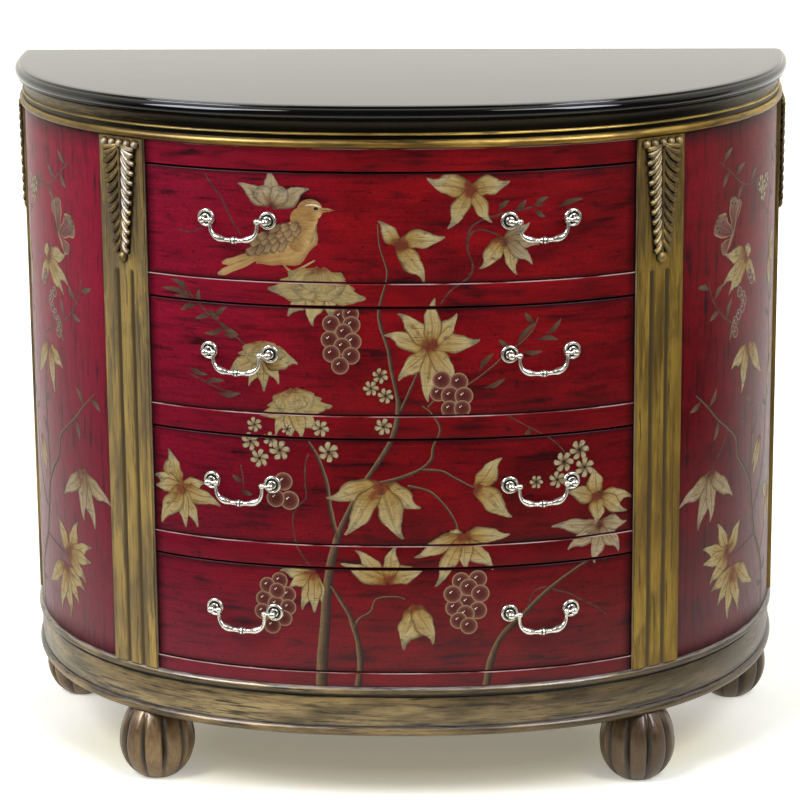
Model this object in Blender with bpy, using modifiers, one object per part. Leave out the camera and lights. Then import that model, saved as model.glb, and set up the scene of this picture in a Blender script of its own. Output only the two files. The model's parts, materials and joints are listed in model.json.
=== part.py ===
"""Demilune chest: four bowed drawers between carved and fluted pilasters, on melon feet.

The chest stands on the floor at Z = 0 with its flat back to the wall (+Y) and its bow
towards -Y. The origin is on the floor, under the middle of the whole chest.
"""

import math

import bmesh
import bpy
from mathutils import Matrix, Vector

# Outline of the case from above: half of a slightly squared oval
CASE_HALF_WIDTH = 0.4800
CASE_DEPTH = 0.4660
BOW_POWER = 2.29
BOW_STEPS = 30
FRONT_STEPS = 12

# Clearances
JOINT_GAP = 0.0003
NEST_GAP = 0.0005
OVERRUN = 0.0200

# Feet: gadrooned buns
FOOT_HEIGHT = 0.0900
FOOT_RADIUS = 0.0470
FOOT_NECK_RADIUS = 0.0310
FOOT_SOLE_RADIUS = 0.0225
FOOT_SET_IN = 0.0300
FOOT_REAR_SET_IN = 0.0470
FOOT_REAR_FROM_WALL = 0.0480
FOOT_LOBES = 10
FOOT_STEPS_PER_LOBE = 3
FOOT_RINGS = 6
FOOT_GROOVE_SHARE = 0.11

# Base moulding, from the bottom up
BASE_ROLL = 0.0120
BASE_FILLET = 0.0020
BASE_BAND = 0.0350
BASE_GROOVE = 0.0030
BASE_ASTRAGAL = 0.0100
BASE_REACH = 0.0050
BASE_BAND_SWELL = 0.0016
BASE_GROOVE_DEPTH = 0.0014
MOULDING_BACKING = 0.0160
BASE_BOARD_THICKNESS = 0.0200

# Drawer front opening and rails, from the bottom up
DRAWER_COUNT = 4
BOTTOM_RAIL_HEIGHT = 0.0172
RAIL_HEIGHT = 0.0268
TOP_RAIL_HEIGHT = 0.0268
OPENING_HEIGHT = 0.1320
OPENING_HALF_WIDTH = 0.2884
RAIL_END_DEPTH = 0.0400

# Cornice, from the bottom up
CORNICE_ROLL = 0.0100
CORNICE_GROOVE = 0.0052
CORNICE_BEAD = 0.0024
CORNICE_COVE = 0.0156
CORNICE_REACH = 0.0065
CORNICE_BEAD_REACH = 0.0028
CORNICE_GROOVE_REACH = 0.0008
COVE_REACH = 0.0080
COVE_STEPS = 4
SUB_TOP_THICKNESS = 0.0180

# Top board
TOP_THICKNESS = 0.0165
TOP_REACH = 0.0112
TOP_UNDER_REACH = 0.0085
TOP_FLAT_SET_IN = 0.0030
TOP_EDGE_ROLL = 0.0062
TOP_QUIRK = 0.0016

# Back, side panels and walls beside the drawers
BACK_THICKNESS = 0.0120
PANEL_THICKNESS = 0.0150
PANEL_STEPS = 12
BAY_WALL_THICKNESS = 0.0175
RUNNER_WIDTH = 0.0160
RUNNER_HEIGHT = 0.0140

# Pilasters
FRONT_PILASTER_RUN = 0.0550
REAR_PILASTER_RUN = 0.0680
PILASTER_PROUD = 0.0040
PILASTER_THICKNESS = 0.0290
FLUTE_RADIUS = 0.0060
FLUTE_DEPTH = 0.0024
FLUTE_FROM_MIDDLE = 0.0115
FLUTE_STOP = 0.0120
FLUTE_SIDES = 12
FLUTE_END_STEPS = 3

# Carved drop at the head of each pilaster
DROP_LENGTH = 0.1480
DROP_TOP_HALF_WIDTH = 0.0245
DROP_FOOT_HALF_WIDTH = 0.0130
DROP_TOP_CLEARANCE = 0.0018
DROP_BEAD_RADIUS = 0.0052
DROP_BEADS = 5
DROP_FOOT_BEAD_RADIUS = 0.0070
DROP_ROWS = 9
DROP_LOBE_HEIGHT = 0.0044
DROP_LOBE_HALF_THICKNESS = 0.0062
DROP_LOBE_SLOPE = math.radians(38)
DROP_RIB_RADIUS = 0.0026
LOBE_SEGMENTS = 6
LOBE_RINGS = 3

# Drawers
DRAWER_FRONT_THICKNESS = 0.0200
DRAWER_FRONT_INSET = 0.0015
DRAWER_END_GAP = 0.0010
DRAWER_TOP_GAP = 0.0024
DRAWER_FOOT_GAP = 0.0008
DRAWER_SIDE_THICKNESS = 0.0110
DRAWER_SIDE_HEIGHT = 0.1120
DRAWER_SIDE_GAP = 0.0020
DRAWER_BACK_THICKNESS = 0.0110
DRAWER_BACK_FROM_PANEL = 0.0100
DRAWER_BOTTOM_THICKNESS = 0.0050
DRAWER_BOTTOM_RAISE = 0.0080
DRAWER_BOTTOM_TONGUE = 0.0050

# Bail pulls
PULLS_HALF_SPREAD = 0.1770
PULL_BORING = 0.0762
PULL_HEIGHT_SHARE = 0.550
ROSETTE_RADIUS = 0.0107
ROSETTE_THICKNESS = 0.0032
ROSETTE_DISH = 0.0012
ROSETTE_RIM = 0.0018
ROSETTE_BOSS_RADIUS = 0.0058
POST_RADIUS = 0.0031
POST_HEAD_RADIUS = 0.0046
POST_STANDOFF = 0.0128
POST_STEPS = 8
POST_HEAD_STEPS = 3
PIN_RADIUS = 0.0014
PIN_CLEARANCE = 0.0003
PIN_DEPTH = 0.0022
BAIL_EYE_INSET = 0.0090
BAIL_EYE_RADIUS = 0.0036
BAIL_DROP = 0.0230
BAIL_ARM_RADIUS = 0.0036
BAIL_NECK_RADIUS = 0.0018
BAIL_BEAD_RADIUS = 0.0046
BAIL_SWELL_AT_SHARE = 0.68
BAIL_SWELL_RISE_SHARE = 0.30
BAIL_SWELL_FALL_SHARE = 0.16
BAIL_BEAD_SHARE = 0.035
BAIL_SIDE_POWER = 0.70
BAIL_DROP_POWER = 0.55
BAIL_POINTS = 15
BAIL_END_STEPS = 2
EYE_SIDES = 6
DRILL_SIDES = 8

# Levels worked out from the sizes above
BASE_HEIGHT = BASE_ROLL + BASE_FILLET + BASE_BAND + BASE_GROOVE + BASE_ASTRAGAL
CORNICE_HEIGHT = CORNICE_ROLL + CORNICE_GROOVE + CORNICE_BEAD + CORNICE_COVE
BASE_TOP = FOOT_HEIGHT + BASE_HEIGHT
FIRST_OPENING = BASE_TOP + JOINT_GAP + BOTTOM_RAIL_HEIGHT
OPENING_PITCH = OPENING_HEIGHT + RAIL_HEIGHT
CARCASS_TOP = FIRST_OPENING + DRAWER_COUNT * OPENING_PITCH - RAIL_HEIGHT + TOP_RAIL_HEIGHT
CORNICE_BOTTOM = CARCASS_TOP + JOINT_GAP
TOP_BOTTOM = CORNICE_BOTTOM + CORNICE_HEIGHT + JOINT_GAP
SUB_TOP_BOTTOM = TOP_BOTTOM - JOINT_GAP - SUB_TOP_THICKNESS
BASE_BOARD_TOP = FOOT_HEIGHT + BASE_BOARD_THICKNESS
WALL_Y = (CASE_DEPTH + TOP_REACH) / 2
BACK_FACE_Y = WALL_Y - BACK_THICKNESS

WOOD = ((0.46, 0.31, 0.17), 0.65, 0.0)
RED_LACQUER = ((0.22, 0.004, 0.008), 0.30, 0.0)
BLACK_LACQUER = ((0.010, 0.009, 0.010), 0.10, 0.0)
WORN_GOLD = ((0.30, 0.19, 0.05), 0.45, 0.35)
BRONZE_BROWN = ((0.12, 0.07, 0.03), 0.42, 0.25)
OLD_SILVER = ((0.56, 0.52, 0.40), 0.28, 1.0)


def start_clean():
    """Remove the scene's objects and make the collections for the parts and the cutters."""
    for old in list(bpy.data.objects):
        bpy.data.objects.remove(old)
    for title in ("demilune_chest", "cutters"):
        bpy.context.scene.collection.children.link(bpy.data.collections.new(title))


def material(title, look):
    """A Principled material, made once for each title."""
    made = bpy.data.materials.get(title)
    if made is None:
        colour, roughness, metallic = look
        made = bpy.data.materials.new(title)
        made.use_nodes = True
        shader = made.node_tree.nodes["Principled BSDF"]
        shader.inputs["Base Color"].default_value = (*colour, 1)
        shader.inputs["Roughness"].default_value = roughness
        shader.inputs["Metallic"].default_value = metallic
    return made


def add_part(name, mesh, title, look, smooth=False):
    """Link a mesh as one named part with its own material."""
    part = bpy.data.objects.new(name, mesh)
    bpy.data.collections["demilune_chest"].objects.link(part)
    mesh.materials.clear()
    mesh.materials.append(material(title, look))
    if smooth:
        mesh.shade_smooth()
        mesh.set_sharp_from_angle(angle=math.radians(35))
    return part


def add_cutter(name, mesh):
    """Link a mesh as a hidden helper for a Boolean."""
    cutter = bpy.data.objects.new(name, mesh)
    bpy.data.collections["cutters"].objects.link(cutter)
    cutter.hide_render = True
    cutter.display_type = "WIRE"
    return cutter


def combine(part, helper, operation):
    """Cut a helper from a part, or join it, with a Boolean."""
    modifier = part.modifiers.new(operation.lower() + "_" + helper.name, "BOOLEAN")
    modifier.operation = operation
    modifier.solver = "EXACT"
    modifier.object = helper
    return modifier


def mesh_of(source):
    """The evaluated mesh of an object, welded, with the object's matrix applied."""
    bpy.context.view_layer.update()
    graph = bpy.context.evaluated_depsgraph_get()
    mesh = bpy.data.meshes.new_from_object(source.evaluated_get(graph), depsgraph=graph)
    mesh.transform(source.matrix_world)
    shape = bmesh.new()
    shape.from_mesh(mesh)
    bmesh.ops.remove_doubles(shape, verts=shape.verts, dist=JOINT_GAP / 30)
    bmesh.ops.recalc_face_normals(shape, faces=shape.faces)
    shape.to_mesh(mesh)
    shape.free()
    bpy.data.objects.remove(source)
    return mesh


def prism(outline, low, high, along_y=False):
    """A flat outline made solid from low to high, upwards or along Y."""
    curve = bpy.data.curves.new("outline", "CURVE")
    curve.dimensions = "2D"
    curve.fill_mode = "BOTH"
    curve.extrude = (high - low) / 2
    spline = curve.splines.new("POLY")
    spline.points.add(len(outline) - 1)
    for point, (across, up) in zip(spline.points, outline):
        point.co = (across, up, 0, 1)
    spline.use_cyclic_u = True
    holder = bpy.data.objects.new("outline", curve)
    bpy.context.scene.collection.objects.link(holder)
    if along_y:
        holder.matrix_world = (
            Matrix.Translation((0, (low + high) / 2, 0)) @ Matrix.Rotation(math.pi / 2, 4, "X")
        )
    else:
        holder.matrix_world = Matrix.Translation((0, 0, (low + high) / 2))
    return mesh_of(holder)


def box(low, high):
    """A box between two opposite corners."""
    low, high = Vector(low), Vector(high)
    shape = bmesh.new()
    size = high - low
    place = Matrix.Translation((low + high) / 2) @ Matrix.Diagonal((*size, 1))
    bmesh.ops.create_cube(shape, size=1, matrix=place)
    mesh = bpy.data.meshes.new("box")
    shape.to_mesh(mesh)
    shape.free()
    return mesh


def turned(profile, steps):
    """A profile of (radius, height), top to bottom on its outer side, turned about Z."""
    mesh = bpy.data.meshes.new("profile")
    points = [(radius, 0, height) for radius, height in profile]
    edges = [(index, index + 1) for index in range(len(points) - 1)]
    mesh.from_pydata(points, edges, [])
    holder = bpy.data.objects.new("profile", mesh)
    bpy.context.scene.collection.objects.link(holder)
    screw = holder.modifiers.new("turn", "SCREW")
    screw.steps = steps
    screw.render_steps = steps
    screw.use_merge_vertices = True
    screw.merge_threshold = JOINT_GAP / 30
    return mesh_of(holder)


def arc(middle, radius, start, end, steps):
    """Points on an arc, angles in degrees, as (across, up)."""
    points = []
    for index in range(steps + 1):
        angle = math.radians(start + (end - start) * index / steps)
        points.append((middle[0] + radius * math.cos(angle), middle[1] + radius * math.sin(angle)))
    return points


def bow_point(angle, offset=0.0):
    """Place and outward normal on the bow, at an angle from the middle of the front."""
    across, back = math.sin(angle), math.cos(angle)
    x_share = math.copysign(abs(across) ** (2 / BOW_POWER), across)
    y_share = max(0.0, back) ** (2 / BOW_POWER)
    normal = Vector((
        math.copysign(abs(x_share) ** (BOW_POWER - 1), across) / CASE_HALF_WIDTH,
        -(y_share ** (BOW_POWER - 1)) / CASE_DEPTH,
        0,
    )).normalized()
    place = Vector((CASE_HALF_WIDTH * x_share, WALL_Y - CASE_DEPTH * y_share, 0))
    return place + normal * offset, normal


def bow_angle_at_x(x):
    """The bow's angle where it stands this far to one side of the middle."""
    return math.asin((x / CASE_HALF_WIDTH) ** (BOW_POWER / 2))


def bow_angle_from_wall(distance):
    """The bow's angle where it stands this far from the wall."""
    return math.acos((distance / CASE_DEPTH) ** (BOW_POWER / 2))


def bow_y(x, offset=0.0):
    """The Y of the bow at one X, for the bow grown or shrunk by an offset."""
    share = abs(x) / (CASE_HALF_WIDTH + offset)
    return WALL_Y - (CASE_DEPTH + offset) * (1 - share**BOW_POWER) ** (1 / BOW_POWER)


def bow_outline(offset, behind_wall=0.0):
    """The whole half round as closed (x, y) points, at one offset."""
    points = []
    for index in range(BOW_STEPS + 1):
        place, _ = bow_point(math.pi * (index / BOW_STEPS - 1 / 2), offset)
        points.append((place.x, place.y))
    if behind_wall:
        points.append((points[-1][0], WALL_Y + behind_wall))
        points.append((points[0][0], WALL_Y + behind_wall))
    return points


def moulded_board(levels):
    """A half-round board whose edge follows (offset, height) levels, bottom to top."""
    shape = bmesh.new()
    rings = []
    for offset, height in levels:
        rings.append([shape.verts.new((x, y, height)) for x, y in bow_outline(offset)])
    for lower, upper in zip(rings, rings[1:]):
        for index in range(1, len(lower)):
            shape.faces.new((lower[index - 1], lower[index], upper[index], upper[index - 1]))
    shape.faces.new(rings[0][::-1])
    shape.faces.new(rings[-1])
    shape.faces.new([ring[0] for ring in rings] + [ring[-1] for ring in reversed(rings)])
    bmesh.ops.recalc_face_normals(shape, faces=shape.faces)
    mesh = bpy.data.meshes.new("moulded_board")
    shape.to_mesh(mesh)
    shape.free()
    return mesh


def moulded_frame(name, levels, title, look):
    """A moulding round the bow: a moulded board with its middle cut out to the wall."""
    frame = add_part(name, moulded_board(levels), title, look, smooth=True)
    low, high = levels[0][1] - OVERRUN, levels[-1][1] + OVERRUN
    middle = prism(bow_outline(-MOULDING_BACKING, OVERRUN), low, high)
    combine(frame, add_cutter(name + "_middle", middle), "DIFFERENCE")
    return frame


def slice_off(mesh, point, normal):
    """Remove what lies beyond a plane and close the cut."""
    shape = bmesh.new()
    shape.from_mesh(mesh)
    everything = shape.verts[:] + shape.edges[:] + shape.faces[:]
    cut = bmesh.ops.bisect_plane(
        shape, geom=everything, plane_co=point, plane_no=normal, clear_outer=True
    )
    edges = [item for item in cut["geom_cut"] if isinstance(item, bmesh.types.BMEdge)]
    bmesh.ops.contextual_create(shape, geom=edges)
    bmesh.ops.recalc_face_normals(shape, faces=shape.faces)
    shape.to_mesh(mesh)
    shape.free()
    return mesh


def base_levels():
    """Edge of the base moulding: roll, fillet, swelling band, groove and astragal."""
    roll = BASE_ROLL / 2
    levels = arc((BASE_REACH - roll, FOOT_HEIGHT + roll), roll, -90, 90, 4)
    band = FOOT_HEIGHT + BASE_ROLL
    levels.append((0, band))
    band += BASE_FILLET
    levels.append((0, band))
    for share in (1 / 3, 2 / 3, 1):
        swell = BASE_BAND_SWELL * math.sin(math.pi * share)
        levels.append((swell, band + BASE_BAND * share))
    groove = band + BASE_BAND
    levels.append((-BASE_GROOVE_DEPTH, groove + BASE_GROOVE / 3))
    levels.append((-BASE_GROOVE_DEPTH, groove + BASE_GROOVE))
    astragal = BASE_ASTRAGAL / 2
    levels += arc((BASE_REACH - astragal, BASE_TOP - astragal), astragal, -90, 90, 4)
    return levels


def cornice_levels():
    """Edge of the cornice: roll, groove, bead and hollow."""
    roll = CORNICE_ROLL / 2
    levels = arc((CORNICE_REACH - roll, CORNICE_BOTTOM + roll), roll, -90, 90, 4)
    height = CORNICE_BOTTOM + CORNICE_ROLL
    levels.append((CORNICE_GROOVE_REACH, height))
    height += CORNICE_GROOVE
    levels.append((CORNICE_GROOVE_REACH, height))
    bead = CORNICE_BEAD / 2
    levels += arc((CORNICE_BEAD_REACH - bead, height + bead), bead, -90, 90, 2)
    height += CORNICE_BEAD
    for index in range(COVE_STEPS + 1):
        angle = math.pi / 2 * index / COVE_STEPS
        reach = COVE_REACH * (1 - math.cos(angle))
        levels.append((reach, height + CORNICE_COVE * math.sin(angle)))
    return levels


def top_levels():
    """Edge of the top board: a fillet below, a roll, a quirk and an eased upper edge."""
    roll = TOP_EDGE_ROLL
    fillet = (TOP_THICKNESS - 2 * roll - TOP_QUIRK) / 2
    levels = [(TOP_UNDER_REACH - fillet, TOP_BOTTOM), (TOP_UNDER_REACH, TOP_BOTTOM + fillet / 2)]
    middle = (TOP_REACH - roll, TOP_BOTTOM + fillet + roll)
    levels += arc(middle, roll, -62, 74, 4)
    crown = TOP_BOTTOM + TOP_THICKNESS
    slope = crown - levels[-1][1]
    start = TOP_REACH - roll
    for share in (0, 1 / 2, 1):
        across = start - (start + TOP_FLAT_SET_IN) * share
        rise = math.sin(math.pi / 2 * (0.35 + 0.65 * share))
        levels.append((across, crown - slope * (1 - rise)))
    return levels


def add_case_boards():
    """Base board, sub-top, top board, back panel and the two mouldings."""
    moulded_frame("base_moulding", base_levels(), "worn_gold_moulding", WORN_GOLD)
    moulded_frame("cornice_moulding", cornice_levels(), "worn_gold_cornice", WORN_GOLD)
    add_part("top_board", moulded_board(top_levels()), "black_lacquer", BLACK_LACQUER, True)
    nested = bow_outline(-MOULDING_BACKING - NEST_GAP)
    base = prism(nested, FOOT_HEIGHT, BASE_BOARD_TOP)
    add_part("base_board", base, "case_wood", WOOD)
    sub_top = prism(nested, SUB_TOP_BOTTOM, TOP_BOTTOM - JOINT_GAP)
    add_part("sub_top", sub_top, "case_wood", WOOD)
    half = rear_pilaster_inner_x() - JOINT_GAP
    low = (-half, BACK_FACE_Y, BASE_BOARD_TOP + JOINT_GAP)
    high = (half, WALL_Y, SUB_TOP_BOTTOM - JOINT_GAP)
    add_part("back_panel", box(low, high), "back_board_wood", WOOD)


def foot_mesh():
    """One bun foot with its neck up, gadrooned by pulling the turned skin in at each groove."""
    middle = FOOT_HEIGHT / 2
    lean = math.acos(FOOT_NECK_RADIUS / FOOT_RADIUS)
    foot_lean = math.acos(FOOT_SOLE_RADIUS / FOOT_RADIUS)
    profile = [(0, FOOT_HEIGHT - JOINT_GAP)]
    for index in range(FOOT_RINGS + 1):
        angle = lean + (-foot_lean - lean) * index / FOOT_RINGS
        stretch = math.sin(lean) if angle > 0 else math.sin(foot_lean)
        height = middle + (middle - JOINT_GAP * (angle > 0)) * math.sin(angle) / stretch
        profile.append((FOOT_RADIUS * math.cos(angle), height))
    profile.append((0, 0))
    mesh = turned(profile, FOOT_LOBES * FOOT_STEPS_PER_LOBE)
    for vertex in mesh.vertices:
        angle = math.atan2(vertex.co.y, vertex.co.x)
        nearness = abs(math.cos(FOOT_LOBES * angle / 2)) ** 6
        fade = math.sin(math.pi * min(1, max(0, vertex.co.z / FOOT_HEIGHT))) ** 0.4
        pull = 1 - FOOT_GROOVE_SHARE * nearness * fade
        vertex.co.x *= pull
        vertex.co.y *= pull
    return mesh


def foot_places():
    """Front feet under the front pilasters, rear feet close to the wall."""
    front, normal = bow_point(front_pilaster_angle())
    front = front - normal * FOOT_SET_IN
    rear, _ = bow_point(bow_angle_from_wall(FOOT_REAR_FROM_WALL))
    rear_x = rear.x - FOOT_REAR_SET_IN
    return {
        "front": (front.x, front.y),
        "rear": (rear_x, WALL_Y - FOOT_REAR_FROM_WALL),
    }


def add_feet():
    """Four bun feet that share one mesh."""
    mesh = foot_mesh()
    for row, (x, y) in foot_places().items():
        for side, sign in (("left", -1), ("right", 1)):
            name = f"foot_{row}_{side}"
            foot = add_part(name, mesh, "bronze_brown_foot", BRONZE_BROWN, smooth=True)
            foot.location = (sign * x, y, 0)


def front_pilaster_angle():
    """The bow's angle at the middle of a front pilaster."""
    return bow_angle_at_x(OPENING_HALF_WIDTH + FRONT_PILASTER_RUN / 2)


def rear_pilaster_angle():
    """The bow's angle at the middle of a rear pilaster."""
    return bow_angle_from_wall(REAR_PILASTER_RUN / 2)


def pilaster_frame(angle, sign):
    """Middle of a pilaster's face, its outward normal, and the way across it from the front."""
    place, normal = bow_point(angle, PILASTER_PROUD)
    place.x *= sign
    normal.x *= sign
    across = Vector((-normal.y * sign, normal.x * sign, 0))
    return place, normal, across


def rear_pilaster_inner_x():
    """How far from the middle a rear pilaster's inner face stands beside the back panel."""
    place, normal, across = pilaster_frame(rear_pilaster_angle(), 1)
    back = place - normal * PILASTER_THICKNESS
    return (back + across * ((BACK_FACE_Y - back.y) / across.y)).x


def pilaster_mesh(angle, half_length, sign):
    """A pilaster's board, over long at both sides before its edges are sliced."""
    place, normal, across = pilaster_frame(angle, sign)
    corners = []
    for along, inward in ((-1, 0), (1, 0), (1, 1), (-1, 1)):
        reach = across * (half_length * along)
        corner = place + reach - normal * (PILASTER_THICKNESS * inward)
        corners.append((corner.x, corner.y))
    return prism(corners, BASE_TOP + JOINT_GAP, CARCASS_TOP)


def capsule(radius, low, high, sides):
    """An upright rod with round ends, turned from half of its outline."""
    upper = arc((0, high - radius), radius, 90, 0, FLUTE_END_STEPS)
    lower = arc((0, low + radius), radius, 0, -90, FLUTE_END_STEPS)
    profile = [(max(0, across), up) for across, up in upper + lower]
    return turned(profile, sides)


def cut_flutes(part, angle, sign):
    """Two stopped flutes, which leave three raised bands."""
    place, normal, across = pilaster_frame(angle, sign)
    low = BASE_TOP + JOINT_GAP + FLUTE_STOP
    high = CARCASS_TOP - DROP_TOP_CLEARANCE - DROP_LENGTH - FLUTE_RADIUS
    for index, along in enumerate((-1, 1)):
        rod = capsule(FLUTE_RADIUS, low, high, FLUTE_SIDES)
        out = place + across * (FLUTE_FROM_MIDDLE * along) + normal * (FLUTE_RADIUS - FLUTE_DEPTH)
        rod.transform(Matrix.Translation((out.x, out.y, 0)))
        combine(part, add_cutter(f"{part.name}_flute_{index}", rod), "DIFFERENCE")


def add_ball(shape, middle, radii, turn):
    """One ellipsoid, turned in the plane of the pilaster's face."""
    place = Matrix.Translation(middle) @ Matrix.Rotation(turn, 4, "Y") @ Matrix.Diagonal((*radii, 1))
    bmesh.ops.create_uvsphere(
        shape, u_segments=LOBE_SEGMENTS, v_segments=LOBE_RINGS, radius=1, matrix=place
    )


def drop_half_width(share):
    """Half width of the leaf, tapering towards its foot."""
    return DROP_TOP_HALF_WIDTH + (DROP_FOOT_HALF_WIDTH - DROP_TOP_HALF_WIDTH) * share


def drop_mesh():
    """The carved drop: a row of beads, lobes in two columns beside a rib, and a foot bead.

    X runs across the face, Z up from the head of the drop and -Y out of the face.
    """
    shape = bmesh.new()
    bead = DROP_BEAD_RADIUS
    spread = DROP_TOP_HALF_WIDTH - bead
    for index in range(DROP_BEADS):
        x = spread * (2 * index / (DROP_BEADS - 1) - 1)
        add_ball(shape, (x, 0, -bead), (bead, bead, bead), 0)
    foot = DROP_FOOT_BEAD_RADIUS
    add_ball(shape, (0, 0, foot - DROP_LENGTH), (foot, foot, foot), 0)
    top, bottom = -2 * bead, 2 * foot - DROP_LENGTH
    pitch = (top - bottom) / DROP_ROWS
    rib = ((top - bottom) / 2 + bead, DROP_RIB_RADIUS)
    add_ball(shape, (0, 0, (top + bottom) / 2), (rib[1], DROP_LOBE_HEIGHT, rib[0]), 0)
    for row in range(DROP_ROWS):
        share = (row + 1 / 2) / DROP_ROWS
        half = drop_half_width(share)
        height = top - pitch * (row + 1 / 2)
        for sign in (-1, 1):
            radii = (half / 2, DROP_LOBE_HEIGHT, DROP_LOBE_HALF_THICKNESS)
            add_ball(shape, (sign * half / 2, 0, height), radii, sign * DROP_LOBE_SLOPE)
    mesh = bpy.data.meshes.new("drop")
    shape.to_mesh(mesh)
    shape.free()
    return mesh


def carve_drop(part, angle, sign):
    """Join the carved drop to the head of a pilaster's face."""
    place, normal, _ = pilaster_frame(angle, sign)
    mesh = drop_mesh()
    turn = math.atan2(normal.x, -normal.y)
    lift = Vector((place.x, place.y, CARCASS_TOP - DROP_TOP_CLEARANCE))
    mesh.transform(Matrix.Translation(lift) @ Matrix.Rotation(turn, 4, "Z"))
    modifier = combine(part, add_cutter(part.name + "_drop", mesh), "UNION")
    modifier.use_self = True


def add_pilasters():
    """Two front pilasters beside the drawers and two rear ones against the wall."""
    front, rear = front_pilaster_angle(), rear_pilaster_angle()
    for side, sign in (("left", -1), ("right", 1)):
        _, _, across = pilaster_frame(front, sign)
        half = FRONT_PILASTER_RUN / 2 / abs(across.x)
        board = pilaster_mesh(front, half, sign)
        inner = (sign * OPENING_HALF_WIDTH, 0, 0)
        slice_off(board, inner, (-sign, 0, 0))
        part = add_part(f"front_pilaster_{side}", board, "worn_gold_pilaster", WORN_GOLD)
        cut_flutes(part, front, sign)
        carve_drop(part, front, sign)
        half = REAR_PILASTER_RUN / 2 / abs(pilaster_frame(rear, sign)[2].y)
        board = pilaster_mesh(rear, half + PILASTER_PROUD, sign)
        slice_off(board, (0, WALL_Y, 0), (0, 1, 0))
        slice_off(board, (0, WALL_Y - REAR_PILASTER_RUN, 0), (0, -1, 0))
        part = add_part(f"rear_pilaster_{side}", board, "worn_gold_pilaster", WORN_GOLD)
        cut_flutes(part, rear, sign)
        carve_drop(part, rear, sign)


def add_side_panels():
    """Curved panels between the front and the rear pilasters."""
    front, rear = front_pilaster_angle(), rear_pilaster_angle()
    for side, sign in (("left", -1), ("right", 1)):
        outer, inner = [], []
        end = bow_angle_from_wall(REAR_PILASTER_RUN + JOINT_GAP)
        for index in range(PANEL_STEPS + 1):
            angle = front + (end - front) * index / PANEL_STEPS
            point, normal = bow_point(angle)
            point.x *= sign
            normal.x *= sign
            outer.append((point.x, point.y))
            back = point - normal * PANEL_THICKNESS
            inner.append((back.x, back.y))
        mesh = prism(outer + inner[::-1], BASE_TOP + JOINT_GAP, CARCASS_TOP)
        place, _, across = pilaster_frame(front, sign)
        half = FRONT_PILASTER_RUN / 2 / abs(across.x)
        edge = place + across * (half + JOINT_GAP)
        slice_off(mesh, edge, -across)
        slice_off(mesh, (0, WALL_Y - REAR_PILASTER_RUN - JOINT_GAP, 0), (0, 1, 0))
        add_part(f"side_panel_{side}", mesh, "red_lacquer_panel", RED_LACQUER, smooth=True)


def front_strip(half_width, offset):
    """Points along the bowed front between two equal distances from the middle."""
    points = []
    for index in range(FRONT_STEPS + 1):
        x = half_width * (2 * index / FRONT_STEPS - 1)
        points.append((x, bow_y(x, offset)))
    return points


def y_on_strip(strip, x):
    """The Y of a strip's straight facets at one X."""
    for (start_x, start_y), (end_x, end_y) in zip(strip, strip[1:]):
        if start_x <= x <= end_x:
            return start_y + (end_y - start_y) * (x - start_x) / (end_x - start_x)
    raise ValueError("X lies beyond the strip")


def add_rails():
    """Bowed rails under, between and over the drawers, each with a straight back edge."""
    half = OPENING_HALF_WIDTH - JOINT_GAP
    front = front_strip(half, 0)
    back = bow_y(half) + RAIL_END_DEPTH
    outline = front + [(half, back), (-half, back)]
    low = BASE_TOP + JOINT_GAP
    heights = [BOTTOM_RAIL_HEIGHT] + [RAIL_HEIGHT] * (DRAWER_COUNT - 1) + [TOP_RAIL_HEIGHT]
    for index, height in enumerate(heights):
        mesh = prism(outline, low, low + height)
        add_part(f"rail_{index + 1}", mesh, "red_lacquer_rail", RED_LACQUER, smooth=True)
        low += height + OPENING_HEIGHT


def opening_bottoms():
    """Floor of each drawer opening, drawer 1 at the top."""
    bottoms = [FIRST_OPENING + OPENING_PITCH * index for index in range(DRAWER_COUNT)]
    return bottoms[::-1]


def bay_wall_front():
    """Where a bay wall starts, just behind the back face of a front pilaster."""
    place, normal, across = pilaster_frame(front_pilaster_angle(), 1)
    back = place - normal * PILASTER_THICKNESS
    outer_x = OPENING_HALF_WIDTH + BAY_WALL_THICKNESS
    return back.y + (outer_x - back.x) * across.y / across.x + JOINT_GAP


def add_bay_walls():
    """Upright boards beside the drawers, with a runner under each drawer side."""
    for side, sign in (("left", -1), ("right", 1)):
        inner = sign * OPENING_HALF_WIDTH
        outer = sign * (OPENING_HALF_WIDTH + BAY_WALL_THICKNESS)
        runner = sign * (OPENING_HALF_WIDTH - RUNNER_WIDTH)
        low, high = BASE_BOARD_TOP + JOINT_GAP, SUB_TOP_BOTTOM - JOINT_GAP
        outline = [(outer, low), (outer, high), (inner, high)]
        for bottom in opening_bottoms():
            outline += [(inner, bottom), (runner, bottom)]
            outline += [(runner, bottom - RUNNER_HEIGHT), (inner, bottom - RUNNER_HEIGHT)]
        outline.append((inner, low))
        mesh = prism(outline, bay_wall_front(), BACK_FACE_Y - JOINT_GAP, along_y=True)
        add_part(f"bay_wall_{side}", mesh, "case_wood", WOOD)


def drawer_bottom_outline(half_width, front_offset, back_y):
    """A drawer bottom: bowed at the front and straight at the back."""
    return front_strip(half_width, front_offset) + [(half_width, back_y), (-half_width, back_y)]


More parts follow.
